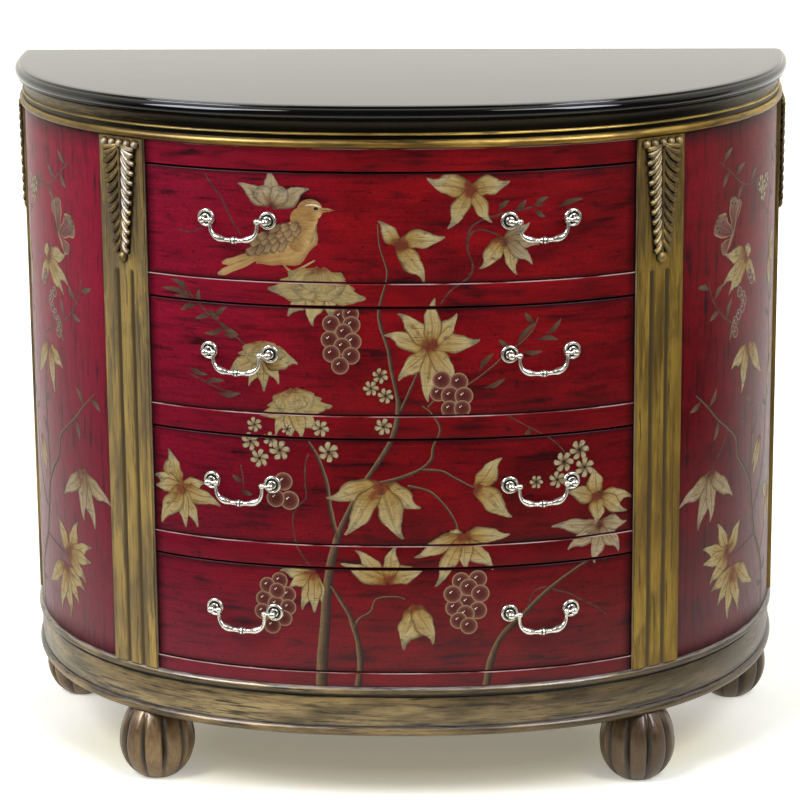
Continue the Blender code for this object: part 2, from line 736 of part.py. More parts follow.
def add_drawer(number, floor, parent):
    """One drawer: bowed front, sides with the back, and the bottom in its grooves."""
    name = f"drawer_{number}"
    half = OPENING_HALF_WIDTH - DRAWER_END_GAP
    back_of_front = -DRAWER_FRONT_INSET - DRAWER_FRONT_THICKNESS
    outer = front_strip(half, -DRAWER_FRONT_INSET)
    inner = front_strip(half, back_of_front)
    low, high = floor + DRAWER_FOOT_GAP, floor + OPENING_HEIGHT - DRAWER_TOP_GAP
    mesh = prism(outer + inner[::-1], low, high)
    front = add_part(name + "_front", mesh, "red_lacquer_drawer", RED_LACQUER, smooth=True)
    side_out = OPENING_HALF_WIDTH - DRAWER_SIDE_GAP
    side_in = side_out - DRAWER_SIDE_THICKNESS
    back_y = BACK_FACE_Y - DRAWER_BACK_FROM_PANEL
    front_out = y_on_strip(inner, side_out) + 2 * JOINT_GAP
    front_in = y_on_strip(inner, side_in) + 2 * JOINT_GAP
    inside_y = back_y - DRAWER_BACK_THICKNESS
    outline = [
        (-side_out, front_out), (-side_in, front_in), (-side_in, inside_y), (side_in, inside_y),
        (side_in, front_in), (side_out, front_out), (side_out, back_y), (-side_out, back_y),
    ]
    foot = floor + JOINT_GAP
    sides = add_part(
        name + "_box", prism(outline, foot, foot + DRAWER_SIDE_HEIGHT), "drawer_wood", WOOD
    )
    tongue_half = side_in + DRAWER_BOTTOM_TONGUE
    tongue_front = back_of_front + DRAWER_BOTTOM_TONGUE
    tongue_back = inside_y + DRAWER_BOTTOM_TONGUE
    under = foot + DRAWER_BOTTOM_RAISE
    over = under + DRAWER_BOTTOM_THICKNESS
    panel = drawer_bottom_outline(tongue_half, tongue_front, tongue_back)
    bottom = add_part(name + "_bottom", prism(panel, under, over), "drawer_bottom_wood", WOOD)
    slot = drawer_bottom_outline(
        tongue_half + JOINT_GAP, tongue_front + JOINT_GAP, tongue_back + JOINT_GAP
    )
    groove = add_cutter(name + "_groove", prism(slot, under - JOINT_GAP, over + JOINT_GAP))
    combine(front, groove, "DIFFERENCE")
    combine(sides, groove, "DIFFERENCE")
    for part in (front, sides, bottom):
        part.parent = parent


def post_mesh():
    """Rosette and post, turned about Z, with the middle of its round head at the origin."""
    seat = -POST_STANDOFF
    face = seat + ROSETTE_THICKNESS
    head = POST_HEAD_RADIUS
    profile = arc((0, 0), head, 90, -40, POST_HEAD_STEPS)
    profile[0] = (0, head)
    profile += [
        (POST_RADIUS, face + ROSETTE_RIM),
        (ROSETTE_BOSS_RADIUS, face - ROSETTE_DISH),
        (ROSETTE_RADIUS - 2 * ROSETTE_RIM, face - ROSETTE_DISH),
        (ROSETTE_RADIUS - ROSETTE_RIM, face),
        (ROSETTE_RADIUS, face - ROSETTE_RIM),
        (ROSETTE_RADIUS, seat),
        (0, seat),
    ]
    return turned(profile, POST_STEPS)


def bail_point(share):
    """Place and radius along one half of a bail, from an eye (0) to the middle bead (1)."""
    eye_x = PULL_BORING / 2 - BAIL_EYE_INSET
    angle = math.pi / 2 * share
    x = eye_x * max(0, math.cos(angle)) ** BAIL_SIDE_POWER
    z = -BAIL_DROP * math.sin(angle) ** BAIL_DROP_POWER
    beyond = share - BAIL_SWELL_AT_SHARE
    spread = BAIL_SWELL_FALL_SHARE if beyond > 0 else BAIL_SWELL_RISE_SHARE
    swell = math.exp(-((beyond / spread) ** 2))
    bead = math.exp(-(((1 - share) / BAIL_BEAD_SHARE) ** 2))
    radius = BAIL_NECK_RADIUS + (BAIL_ARM_RADIUS - BAIL_NECK_RADIUS) * swell
    return x, z, radius + (BAIL_BEAD_RADIUS - BAIL_NECK_RADIUS) * bead


def bail_mesh():
    """A hanging bail: swelling arms and a middle bead, with an eye and a pin at each end."""
    curve = bpy.data.curves.new("bail", "CURVE")
    curve.dimensions = "3D"
    curve.bevel_depth = 1
    curve.bevel_resolution = 1
    curve.use_fill_caps = True
    spline = curve.splines.new("POLY")
    spline.points.add(BAIL_POINTS - 1)
    middle = (BAIL_POINTS - 1) / 2
    for index, point in enumerate(spline.points):
        along = 1 - abs(index - middle) / middle
        x, z, radius = bail_point(math.sin(math.pi / 2 * along))
        point.co = (math.copysign(x, index - middle), 0, z, 1)
        point.radius = radius
    holder = bpy.data.objects.new("bail", curve)
    bpy.context.scene.collection.objects.link(holder)
    bow = bpy.data.objects.new("bail_bow", mesh_of(holder))
    bpy.context.scene.collection.objects.link(bow)
    eye_x = PULL_BORING / 2 - BAIL_EYE_INSET
    pin_end = BAIL_EYE_INSET - POST_HEAD_RADIUS + PIN_DEPTH
    profile = [(0, pin_end), (PIN_RADIUS, pin_end), (PIN_RADIUS, BAIL_EYE_RADIUS * 0.9)]
    profile += arc((0, 0), BAIL_EYE_RADIUS, 45, -90, BAIL_END_STEPS)
    profile[-1] = (0, -BAIL_EYE_RADIUS)
    for sign in (-1, 1):
        eye = turned(profile, EYE_SIDES)
        eye.transform(
            Matrix.Translation((sign * eye_x, 0, 0)) @ Matrix.Rotation(sign * math.pi / 2, 4, "Y")
        )
        helper = add_cutter(f"bail_eye_{sign}", eye)
        combine(bow, helper, "UNION")
    return mesh_of(bow)


def pull_frame(side_sign, height):
    """Places of the two post heads of one pull, and their outward normals."""
    posts = []
    for end in (-1, 1):
        x = side_sign * PULLS_HALF_SPREAD
        chord_x = PULL_BORING / 2 * math.cos(pull_chord_angle())
        x += end * chord_x
        angle = math.copysign(bow_angle_at_x(abs(x)), x)
        foot, normal = bow_point(angle, JOINT_GAP * 2 - DRAWER_FRONT_INSET)
        foot.z = height
        posts.append((foot + normal * POST_STANDOFF, normal))
    return posts


def pull_chord_angle():
    """How far the bow has turned at the middle of a pull."""
    _, normal = bow_point(bow_angle_at_x(PULLS_HALF_SPREAD))
    return math.atan2(normal.x, -normal.y)


def add_pull(drawer, side, sign, height, parent, bail):
    """Two posts with rosettes, and the bail that swings between them."""
    posts = pull_frame(sign, height)
    heads = [head for head, _ in posts]
    middle = (heads[0] + heads[1]) / 2
    along = (heads[1] - heads[0]).normalized()
    swing = Matrix.Rotation(math.atan2(along.y, along.x), 4, "Z")
    reach = (heads[1] - heads[0]).length / 2 - POST_HEAD_RADIUS + PIN_DEPTH + PIN_CLEARANCE
    bore = PIN_RADIUS + PIN_CLEARANCE
    rod = turned([(0, reach), (bore, reach), (bore, -reach), (0, -reach)], DRILL_SIDES)
    turn = Matrix.Translation(middle) @ swing @ Matrix.Rotation(math.pi / 2, 4, "Y")
    rod.transform(turn)
    drill = add_cutter(f"pull_{drawer}_{side}_drill", rod)
    for end, (head, normal) in zip(("left", "right"), posts):
        mesh = post_mesh()
        name = f"post_{drawer}_{side}_{end}"
        post = add_part(name, mesh, "old_silver_post", OLD_SILVER, smooth=True)
        facing = math.atan2(normal.x, -normal.y)
        mesh.transform(Matrix.Rotation(math.pi / 2, 4, "X"))
        mesh.transform(Matrix.Translation(head) @ Matrix.Rotation(facing, 4, "Z"))
        combine(post, drill, "DIFFERENCE")
        post.parent = parent
    swinging = add_part(f"bail_{drawer}_{side}", bail, "old_silver_bail", OLD_SILVER, smooth=True)
    swinging.matrix_world = Matrix.Translation(middle) @ swing
    swinging.parent = parent
    swinging.matrix_parent_inverse = parent.matrix_world.inverted()


def add_drawers():
    """Four drawers, each on an empty that its slide would move, with two pulls each."""
    bail = bail_mesh()
    for index, floor in enumerate(opening_bottoms()):
        number = index + 1
        slide = bpy.data.objects.new(f"drawer_{number}_slide", None)
        bpy.data.collections["demilune_chest"].objects.link(slide)
        add_drawer(number, floor, slide)
        height = floor + OPENING_HEIGHT * PULL_HEIGHT_SHARE
        for side, sign in (("left", -1), ("right", 1)):
            add_pull(number, side, sign, height, slide, bail)


def build():
    """The whole chest."""
    start_clean()
    add_case_boards()
    add_feet()
    add_pilasters()
    add_side_panels()
    add_rails()
    add_bay_walls()
    add_drawers()


build()
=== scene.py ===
# %% [markdown]
# # A painted demilune chest
# A half-round chest of four drawers in red lacquer, with a black gloss top, worn gold
# pilasters and mouldings, bronze feet, old silver pulls and painted vines.
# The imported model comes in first: every piece made here is fitted to it, in metres, and
# rides on one of its bodies.

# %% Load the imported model
import json
import math
from bisect import bisect_left

import bpy
from mathutils import Matrix, Vector

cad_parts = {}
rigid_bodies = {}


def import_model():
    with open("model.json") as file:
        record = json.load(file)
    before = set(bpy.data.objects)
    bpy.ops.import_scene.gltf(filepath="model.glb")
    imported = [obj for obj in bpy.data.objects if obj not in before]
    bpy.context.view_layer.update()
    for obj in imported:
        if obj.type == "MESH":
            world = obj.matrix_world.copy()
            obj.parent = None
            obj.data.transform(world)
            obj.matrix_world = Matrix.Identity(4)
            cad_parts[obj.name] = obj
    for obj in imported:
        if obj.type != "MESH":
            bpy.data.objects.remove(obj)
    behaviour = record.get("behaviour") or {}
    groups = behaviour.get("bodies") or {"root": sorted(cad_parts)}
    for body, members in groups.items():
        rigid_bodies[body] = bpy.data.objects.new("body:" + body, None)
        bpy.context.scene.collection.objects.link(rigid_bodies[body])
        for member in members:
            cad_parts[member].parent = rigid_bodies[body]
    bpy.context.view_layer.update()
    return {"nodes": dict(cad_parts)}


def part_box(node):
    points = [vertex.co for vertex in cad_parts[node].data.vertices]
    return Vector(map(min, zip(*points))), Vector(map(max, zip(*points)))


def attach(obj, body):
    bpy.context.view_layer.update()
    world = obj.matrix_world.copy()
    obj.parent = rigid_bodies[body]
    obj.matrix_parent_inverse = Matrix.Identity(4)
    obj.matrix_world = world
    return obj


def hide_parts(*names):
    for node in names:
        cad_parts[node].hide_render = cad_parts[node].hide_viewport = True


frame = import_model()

# %% [markdown]
# ## Tools for the hands
# Operators in Blender act on whatever is selected, so a piece is always picked alone
# first. `in_edit` wraps the switch to edit mode, and `saw` cuts a piece at a plane and
# closes the cut, as a saw would.

# %% Selecting, welding and sawing
def pick(*pieces):
    """Select these pieces alone and make the first one active."""
    bpy.ops.object.select_all(action="DESELECT")
    for piece in pieces:
        piece.select_set(True)
    bpy.context.view_layer.objects.active = pieces[0]
    return pieces[0]


def in_edit(piece, *steps):
    """Run operators in edit mode with the whole mesh selected."""
    pick(piece)
    bpy.ops.object.mode_set(mode="EDIT")
    bpy.ops.mesh.select_all(action="SELECT")
    for step in steps:
        step()
    bpy.ops.object.mode_set(mode="OBJECT")
    return piece


def weld(piece):
    """Merge doubled points, then turn all faces outwards."""
    return in_edit(piece, lambda: bpy.ops.mesh.remove_doubles(threshold=0.00001),
                   lambda: bpy.ops.mesh.normals_make_consistent(inside=False))


def saw(piece, point, away):
    """Cut at a plane, drop the side that `away` points to and close the cut."""
    return in_edit(piece, lambda: bpy.ops.mesh.bisect(
        plane_co=point, plane_no=away, use_fill=True, clear_outer=True))


def smooth(piece, angle=32):
    """Shade smooth, but keep edges sharper than the angle."""
    pick(piece)
    bpy.ops.object.shade_smooth_by_angle(angle=math.radians(angle))
    return piece


def settle(piece):
    """Move a piece's place into its mesh, so its object sits at the origin."""
    pick(piece)
    bpy.ops.object.transform_apply(location=True, rotation=True, scale=True)
    return piece


def apply_modifiers(piece):
    """Apply every modifier, from the first to the last."""
    pick(piece)
    for modifier in list(piece.modifiers):
        bpy.ops.object.modifier_apply(modifier=modifier.name)
    return piece


def copy_of(piece, name):
    """A copy with its own mesh."""
    twin = piece.copy()
    twin.data = piece.data.copy()
    twin.name = name
    bpy.context.scene.collection.objects.link(twin)
    return twin


def drop(*pieces):
    """Remove helper objects that are no longer needed."""
    for piece in pieces:
        bpy.data.objects.remove(piece)


# %% [markdown]
# ## Lines as guides
# Many pieces start from a drawn line: a path to follow, a profile to sweep or half an
# outline to turn on a lathe. A poly curve through given points is the plainest way.

# %% Lines, lathe work and arcs
def line(name, points, closed=False, flat=False):
    """A poly curve through points, either a path in space or a flat profile."""
    curve = bpy.data.curves.new(name, "CURVE")
    curve.dimensions = "2D" if flat else "3D"
    curve.fill_mode = "NONE" if flat else "FULL"
    spline = curve.splines.new("POLY")
    spline.points.add(len(points) - 1)
    for spot, place in zip(spline.points, points):
        spot.co = (*place, 0, 1) if len(place) == 2 else (*place, 1)
    spline.use_cyclic_u = closed
    made = bpy.data.objects.new(name, curve)
    bpy.context.scene.collection.objects.link(made)
    return made


def arc(middle, radius, start, end, steps):
    """Points on an arc, angles in degrees, as (across, up)."""
    turns = [math.radians(start + (end - start) * i / steps) for i in range(steps + 1)]
    return [(middle[0] + radius * math.cos(t), middle[1] + radius * math.sin(t)) for t in turns]


def lathe(name, profile, steps):
    """Turn a profile of (radius, height) about Z, with its poles closed."""
    outline = line(name, [(radius, 0, height) for radius, height in profile])
    pick(outline)
    bpy.ops.object.convert(target="MESH")
    in_edit(outline, lambda: bpy.ops.mesh.spin(
        steps=steps, angle=math.tau, center=(0, 0, 0), axis=(0, 0, 1)))
    return smooth(weld(outline))


# %% [markdown]
# ## The bow
# One squared oval, half as deep as it is wide, carries everything: the top, both
# mouldings, the rails, the drawer fronts and the side panels are all parallel to it. Its
# power of 2.29 makes it a little fuller than an ellipse at the shoulders. A bowed piece is
# made as a moulder runs a moulding: the whole oval is a path, the piece's section is swept
# round it, and the ends are sawn off where the piece stops.

# %% The bow's line and the case's levels
HALF_WIDTH, DEPTH, POWER = 0.4800, 0.4660, 2.29
WALL_Y = 0.2386
CASE_LOW, CASE_HIGH = 0.1523, 0.8047      # foot and head of panels and pilasters
OPENING_HALF, RAIL_HALF, DRAWER_HALF = 0.2884, 0.2881, 0.2874
SIDES = (("left", -1), ("right", 1))
BACK_CUT = (0, WALL_Y, 0), (0, 1, 0)      # the plane of the wall


def bow(angle, offset=0.0):
    """Place and outward normal on the bow, at an angle from the middle of the front."""
    across, back = math.sin(angle), math.cos(angle)
    x_share = math.copysign(abs(across) ** (2 / POWER), across)
    y_share = math.copysign(abs(back) ** (2 / POWER), back)
    normal = Vector((
        math.copysign(abs(x_share) ** (POWER - 1), across) / HALF_WIDTH,
        -math.copysign(abs(y_share) ** (POWER - 1), back) / DEPTH,
        0,
    )).normalized()
    return Vector((HALF_WIDTH * x_share, WALL_Y - DEPTH * y_share, 0)) + normal * offset, normal


def bow_angle(x):
    """The bow's angle where it stands this far right of the middle."""
    return math.copysign(math.asin((abs(x) / HALF_WIDTH) ** (POWER / 2)), x)


def bow_angle_from_wall(distance):
    """The bow's angle where it stands this far from the wall."""
    return math.acos((distance / DEPTH) ** (POWER / 2))


# %% Measure along the bow
TURNS = [math.pi / 2 * (i / 1500 - 1) for i in range(3001)]
LENGTHS = [0.0]
for before, after in zip(TURNS, TURNS[1:]):
    LENGTHS.append(LENGTHS[-1] + (bow(after)[0] - bow(before)[0]).length)
HALF_RUN = LENGTHS[-1] / 2
print(f"the bow is {2 * HALF_RUN * 1000:.1f} mm from wall to wall along its face")


def along_bow(x, y):
    """How far right of the middle a point lies, measured along the bow."""
    back = max(0.0, (WALL_Y - y) / DEPTH) ** (POWER / 2)
    turn = math.atan2((abs(x) / HALF_WIDTH) ** (POWER / 2), back)
    spot = min(3000, max(1, bisect_left(TURNS, turn)))
    share = (turn - TURNS[spot - 1]) / (TURNS[spot] - TURNS[spot - 1])
    run = LENGTHS[spot - 1] + (LENGTHS[spot] - LENGTHS[spot - 1]) * min(1, max(0, share))
    return math.copysign(run - HALF_RUN, x)


def measure_bow(piece):
    """Store on each point how far it lies along the bow, out of it and up."""
    spots = piece.data.attributes.new("unrolled", "FLOAT_VECTOR", "POINT")
    for spot, point in zip(spots.data, piece.data.vertices):
        x, y, z = point.co
        reach = ((abs(x) / HALF_WIDTH) ** POWER
                 + (max(0, WALL_Y - y) / DEPTH) ** POWER) ** (1 / POWER)
        spot.vector = (along_bow(x, y), (reach - 1) * DEPTH, z)
    return piece


def mark(piece, title, measure):
    """Store one number on each point, worked out from its place."""
    spots = piece.data.attributes.new(title, "FLOAT", "POINT")
    for spot, point in zip(spots.data, piece.data.vertices):
        spot.value = measure(point.co)
    return piece


# %% Sweep a section round the bow
def swept(name, section, ring=True):
    """Sweep a section of (outwards, up) points round the oval.

    A ring is a closed section, so it leaves a hollow middle. An open section has its top
    and bottom filled and makes a slab.
    """
    path = line(name, [bow(math.tau * i / 360)[0] for i in range(360)], closed=True)
    guide = line(name + "_section", section, closed=ring, flat=True)
    path.data.bevel_mode = "OBJECT"
    path.data.bevel_object = guide
    pick(path)
    bpy.ops.object.convert(target="MESH")
    drop(guide)
    if not ring:
        in_edit(path, lambda: bpy.ops.mesh.fill_holes(sides=0))
    return weld(path)


# %% [markdown]
# ## Top board
# A board with a moulded edge: a small fillet below, a fat roll, a quirk (a narrow step)
# and then an almost flat upper face, lacquered black and polished.

# %% Make the top board
TOP_BOTTOM, TOP_HEIGHT = 0.8385, 0.0165
top_section = [(0.00705, TOP_BOTTOM), (0.0080, TOP_BOTTOM), (0.0085, TOP_BOTTOM + 0.0004),
               (0.0085, TOP_BOTTOM + 0.0011)]
top_section += arc((0.00495, TOP_BOTTOM + 0.00745), 0.0062, -58, 72, 18)
top_section += [(0.0060, TOP_BOTTOM + 0.0136), (0.0057, TOP_BOTTOM + 0.0142)]
top_section += arc((0.0046, TOP_BOTTOM + 0.01478), 0.0011, -20, 80, 5)
top_section += [(0.0030, TOP_BOTTOM + 0.01605), (0.0, TOP_BOTTOM + 0.01637),
                (-0.0030, TOP_BOTTOM + TOP_HEIGHT)]
top_board = saw(swept("lacquered_top", top_section, ring=False), *BACK_CUT)
measure_bow(smooth(top_board, 25))
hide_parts("top_board")
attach(top_board, "case")
print("top:", len(top_board.data.polygons), "faces")

# %% [markdown]
# ## Cornice and base moulding
# Both are runs of turned-looking members. From the bottom up, the cornice has a roll, a
# black groove, a thin bead and a deep hollow (a cove) under the top. The base has a roll,
# a fillet, a broad band with a slight swell, a groove and an astragal.

# %% Run the mouldings
BACKING = -0.0160
cornice_section = [(BACKING, 0.8050), (0.0012, 0.8050)]
cornice_section += arc((0.0015, 0.8100), 0.0050, -88, 86, 22)
cornice_section += [(0.0010, 0.81505), (0.0008, 0.8153), (0.0008, 0.8200)]
cornice_section += arc((0.0016, 0.8214), 0.0012, -80, 80, 8)
cornice_section += [(0.0004, 0.8228)]
cornice_section += [(0.0080 * (1 - math.cos(t)) + 0.0002, 0.8230 + 0.0152 * math.sin(t))
                    for t in [math.pi / 2 * i / 12 for i in range(1, 13)]]
cornice_section += [(0.0080, 0.8382), (BACKING, 0.8382)]
cornice = saw(swept("cornice", cornice_section), *BACK_CUT)

base_section = [(BACKING, 0.0900), (-0.0008, 0.0900)]
base_section += arc((-0.0010, 0.0960), 0.0060, -90, 84, 22)
base_section += [(0.0000, 0.1022), (0.0000, 0.1038), (0.0004, 0.1041)]
base_section += [(0.0016 * math.sin(math.pi * t), 0.1040 + 0.0350 * t)
                 for t in [0.06 + 0.91 * i / 16 for i in range(17)]]
base_section += [(-0.0003, 0.1390), (-0.0014, 0.1394), (-0.0014, 0.1418), (-0.0008, 0.1421)]
base_section += arc((0.0000, 0.1470), 0.0050, -78, 90, 20)
base_section += [(BACKING, 0.1520)]
base = saw(swept("base", base_section), *BACK_CUT)
for piece, node, finish in (
    (cornice, "cornice_moulding", "worn_gold_cornice"),
    (base, "base_moulding", "worn_gold_moulding"),
):
    measure_bow(smooth(piece, 28))
    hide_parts(node)
    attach(piece, "case")
    print(piece.name, len(piece.data.polygons), "faces")

# %% [markdown]
# ## Rails
# Five bowed rails frame the drawers. Each is a slab of the oval, sawn straight at its
# back and ends, with its long edges eased as if by sandpaper.

# %% Make the rails
RAILS = [(CASE_LOW, 0.1695), (0.3015, 0.3283), (0.4603, 0.4871), (0.6191, 0.6459),
         (0.7779, CASE_HIGH)]
RAIL_BACK = -0.1173
for number, (low, high) in enumerate(RAILS, 1):
    inner, ease = -0.0030, 0.0009
    section = [(inner, low), (-ease, low)] + arc((-ease, low + ease), ease, -60, 0, 3)
    section += arc((-ease, high - ease), ease, 0, 60, 3) + [(-ease, high), (inner, high)]
    rail = swept(f"red_rail_{number}", section, ring=False)
    saw(rail, (0, RAIL_BACK, 0), (0, 1, 0))
    for sign in (1, -1):
        saw(rail, (sign * RAIL_HALF, 0, 0), (sign, 0, 0))
    measure_bow(smooth(rail, 50))
    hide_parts(f"rail_{number}")
    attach(rail, "case")
print("rails:", len(RAILS))

# %% [markdown]
# ## Drawer fronts
# A drawer front is a curved board as deep as the bow is sprung. It is swept as a ring,
# so that its inner face is parallel to its outer one, and both ends are sawn along the
# way that the drawer slides. The groove for the drawer's bottom runs along the inner face.

# %% Make the drawer fronts
OPENINGS = {number: RAILS[4 - number][1] for number in (1, 2, 3, 4)}   # the floor of each
GROOVE_LOW, GROOVE_HIGH, GROOVE_DEEP, NIB = 0.0080, 0.0136, 0.0053, 0.0004
for number, floor in OPENINGS.items():
    low, high, out, back, ease = floor + 0.0008, floor + 0.1296, -0.0015, -0.0215, 0.0014
    section = [(back + NIB, low)]
    section += arc((out - ease, low + ease), ease, -90, 0, 4)
    section += arc((out - ease, high - ease), ease, 0, 90, 4)
    section += [(back + NIB, high), (back, high - NIB), (back, floor + GROOVE_HIGH),
                (back + GROOVE_DEEP, floor + GROOVE_HIGH),
                (back + GROOVE_DEEP, floor + GROOVE_LOW), (back, floor + GROOVE_LOW),
                (back, low + NIB)]
    front = swept(f"red_drawer_front_{number}", section)
    saw(front, *BACK_CUT)
    for sign in (1, -1):
        saw(front, (sign * DRAWER_HALF, 0, 0), (sign, 0, 0))
    measure_bow(smooth(front, 50))
    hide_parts(f"drawer_{number}_front")
    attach(front, f"drawer_{number}")
print("drawer fronts:", len(OPENINGS))

# %% [markdown]
# ## Pilasters
# A pilaster is a flat upright strip like a shallow column. Each stands on the bow,
# its face 4 mm proud of the panels. Boards are made lying at the origin, facing -Y, then
# turned on to the bow and sawn to the lines of the drawer opening or of the wall. Two
# flutes are cut from the face with a round-nosed rod: round at the head, they run out at
# the foot.

# %% Where the pilasters stand
FRONT_STRIP, REAR_STRIP, PROUD = 0.0275, 0.0340, 0.0040   # half widths and the step out
REAR_EDGE, PANEL_EDGE = 0.0680, 0.0683                    # from the wall
FRONT_ANGLE = bow_angle(OPENING_HALF + FRONT_STRIP)
REAR_ANGLE = bow_angle_from_wall(REAR_STRIP)


def pilaster_place(angle, sign):
    """Middle of a pilaster's face, its outward normal and the way across from the front."""
    spot, normal = bow(angle * sign, PROUD)
    across = Vector((-normal.y * sign, normal.x * sign, 0))
    return spot, normal, across


def turn_to(piece, spot, normal):
    """Turn a piece that faces -Y towards a normal, and stand it at a spot."""
    piece.matrix_world = (
        Matrix.Translation(spot) @ Matrix.Rotation(math.atan2(normal.x, -normal.y), 4, "Z"))
    return settle(piece)


front_spot, _, front_across = pilaster_place(FRONT_ANGLE, 1)
rear_across = pilaster_place(REAR_ANGLE, 1)[2]
FRONT_HALF = FRONT_STRIP / abs(front_across.x)
REAR_HALF = REAR_STRIP / abs(rear_across.y) + PROUD
print("front pilaster at", [round(c, 4) for c in front_spot], "half", round(FRONT_HALF, 4))

# %% Cut the boards and their flutes
BOARD_DEEP = 0.0290
FLUTE_HEAD, FLUTE_FOOT = 0.6429, CASE_LOW - 0.0050
FLUTE_RADIUS, FLUTE_X, FLUTE_OUT = 0.0060, 0.0115, 0.0036


def pilaster_board(name, half):
    """A board that faces -Y, with two flutes, rounded off at the head only."""
    bpy.ops.object.select_all(action="DESELECT")
    bpy.ops.mesh.primitive_cube_add(
        size=1, location=(0, BOARD_DEEP / 2, (CASE_LOW + CASE_HIGH) / 2),
        scale=(2 * half, BOARD_DEEP, CASE_HIGH - CASE_LOW))
    board = settle(bpy.context.object)
    board.name = name
    rod = lathe("rod", arc((0, FLUTE_HEAD), FLUTE_RADIUS, 90, 0, 8)
                + [(FLUTE_RADIUS, FLUTE_FOOT), (0, FLUTE_FOOT)], 48)
    for along in (-FLUTE_X, FLUTE_X):
        cutter = copy_of(rod, "cutter")
        cutter.location = (along, -FLUTE_OUT, 0)
        settle(cutter)
        flute = board.modifiers.new("flute", "BOOLEAN")
        flute.operation, flute.solver, flute.object = "DIFFERENCE", "EXACT", cutter
        apply_modifiers(board)
        drop(cutter)
    drop(rod)
    return mark(board, "relief", lambda place: max(-3.0, -1000 * place.y))


boards = {}
for row, angle, half in (("front", FRONT_ANGLE, FRONT_HALF), ("rear", REAR_ANGLE, REAR_HALF)):
    for side, sign in SIDES:
        board = pilaster_board(f"gold_pilaster_{row}_{side}", half)
        turn_to(board, *pilaster_place(angle, sign)[:2])
        if row == "front":
            saw(board, (sign * OPENING_HALF, 0, 0), (-sign, 0, 0))
        else:
            saw(board, *BACK_CUT)
            saw(board, (0, WALL_Y - REAR_EDGE, 0), (0, -1, 0))
        weld(board)
        boards[row, side] = board
        print(board.name, len(board.data.polygons), "faces")

# %% [markdown]
# ## The carved drop
# The head of each pilaster carries a carved drop, like a hanging feather: five beads in a
# row, then two columns of curled lobes on each side of a rib, and a ball at the foot. A
# carver cuts it from one block. Here each lobe is a tapering tube along a small J, repeated
# down the drop smaller and smaller, over a dark bed painted as the shade between the
# lobes. The crests that face out carry a painted highlight, brightest on the column next to
# the drawers.

# %% Carve one lobe
DROP_ROWS, FIRST_ROW, ROWS_RUN = 10, -0.0208, 0.1085
WIDE_ROW, NARROW_ROW, LONG_LOBE, SHORT_LOBE = 0.0262, 0.0125, 0.0158, 0.0120


def tube(name, points, sides=8):
    """A round tube through (x, y, z, radius) points, closed at both ends."""
    guide = line(name, [point[:3] for point in points])
    guide.data.bevel_depth = 1
    guide.data.bevel_resolution = max(0, sides // 4 - 1)
    guide.data.use_fill_caps = True
    for spot, point in zip(guide.data.splines[0].points, points):
        spot.radius = point[3]
    pick(guide)
    bpy.ops.object.convert(target="MESH")
    return smooth(weld(guide), 60)


def ball(name, place, radii):
    """A ball or an egg at a place."""
    bpy.ops.object.select_all(action="DESELECT")
    bpy.ops.mesh.primitive_uv_sphere_add(
        segments=20, ring_count=10, radius=1, location=place, scale=radii)
    made = settle(bpy.context.object)
    made.name = name
    return smooth(made, 60)


def lobe(size, sign, length):
    """One lobe: thin beside the rib, then down and outwards, fat at its rounded end."""
    spine = []
    for share in [i / 11 for i in range(12)]:
        fat = 0.0011 + 0.0026 * math.sin(math.pi * (0.02 + 0.66 * share ** 1.3))
        spine.append((sign * size * (0.07 + 0.86 * share ** 1.55),
                      -0.0008 - 0.0026 * math.sin(math.pi * (0.08 + 0.62 * share)),
                      length * (0.90 - 1.40 * math.sin(1.30 * share) / math.sin(1.30)), fat))
    return spine


# %% Carve one drop
def carved_drop(name, bright_side):
    """The whole drop, its head at the origin, facing -Y and hanging down."""
    parts = []
    # a thin dark bed behind the lobes, coloured as painted shade
    bpy.ops.object.select_all(action="DESELECT")
    bpy.ops.mesh.primitive_cube_add(
        size=1, location=(0, 0.0002, -0.0720), scale=(0.0500, 0.0020, 0.1290))
    bed = settle(bpy.context.object)
    for point in bed.data.vertices:
        if point.co.z < -0.07:    # the bed tapers to its foot
            point.co.x *= 0.46
    parts.append(bed)
    for sign in (-1, 1):
        for size, length, height in ((0.0250, 0.0088, -0.0140), (WIDE_ROW, 0.0036, -0.0096)):
            parts.append(tube("first_lobe", lobe(size, sign, length)))
            parts[-1].location.z = height
    for index in range(5):
        parts.append(ball("bead", (0.0121 * (index - 2), -0.0008, -0.0056),
                          (0.0058, 0.0050, 0.0054)))
    for row in range(DROP_ROWS):
        share = row / (DROP_ROWS - 1)
        size = WIDE_ROW + (NARROW_ROW - WIDE_ROW) * share
        length = LONG_LOBE + (SHORT_LOBE - LONG_LOBE) * share
        height = FIRST_ROW - ROWS_RUN * share
        for sign in (-1, 1):
            parts.append(tube("lobe", lobe(size, sign, length)))
            parts[-1].location.z = height
            parts.append(tube("crease", [
                (x * 0.90, y + 0.0006, z + 0.0056, r * 0.60)
                for x, y, z, r in lobe(size, sign, length)][1:11]))
            parts[-1].location.z = height
    parts.append(tube("rib", [(0, -0.0022, -0.0115 - 0.1250 * t, 0.0028 - 0.0008 * t)
                              for t in [i / 12 for i in range(13)]]))
    parts.append(ball("foot_ball", (0, -0.0006, -0.1420), (0.0072, 0.0060, 0.0074)))
    pick(*parts)
    bpy.ops.object.transform_apply(location=True, rotation=True, scale=True)
    bpy.ops.object.join()
    made = bpy.context.object
    made.name = name
    # the crests get a painted highlight where the carving faces out, most on the lobes of one side;
    # the bed gets none, so it stays dark as painted shade
    spots = made.data.attributes.new("relief", "FLOAT", "POINT")
    for spot, point in zip(spots.data, made.data.vertices):
        x, y, z = point.co
        if z > -0.0112:
            rubbed = 6.0
        elif z < -0.1350 or abs(x) < 0.0030:
            rubbed = 5.0
        else:
            rubbed = 6.6 if x * bright_side > 0 else 3.9
        spot.value = rubbed * max(0, -point.normal.y) if y < -0.0012 else 0
    return made


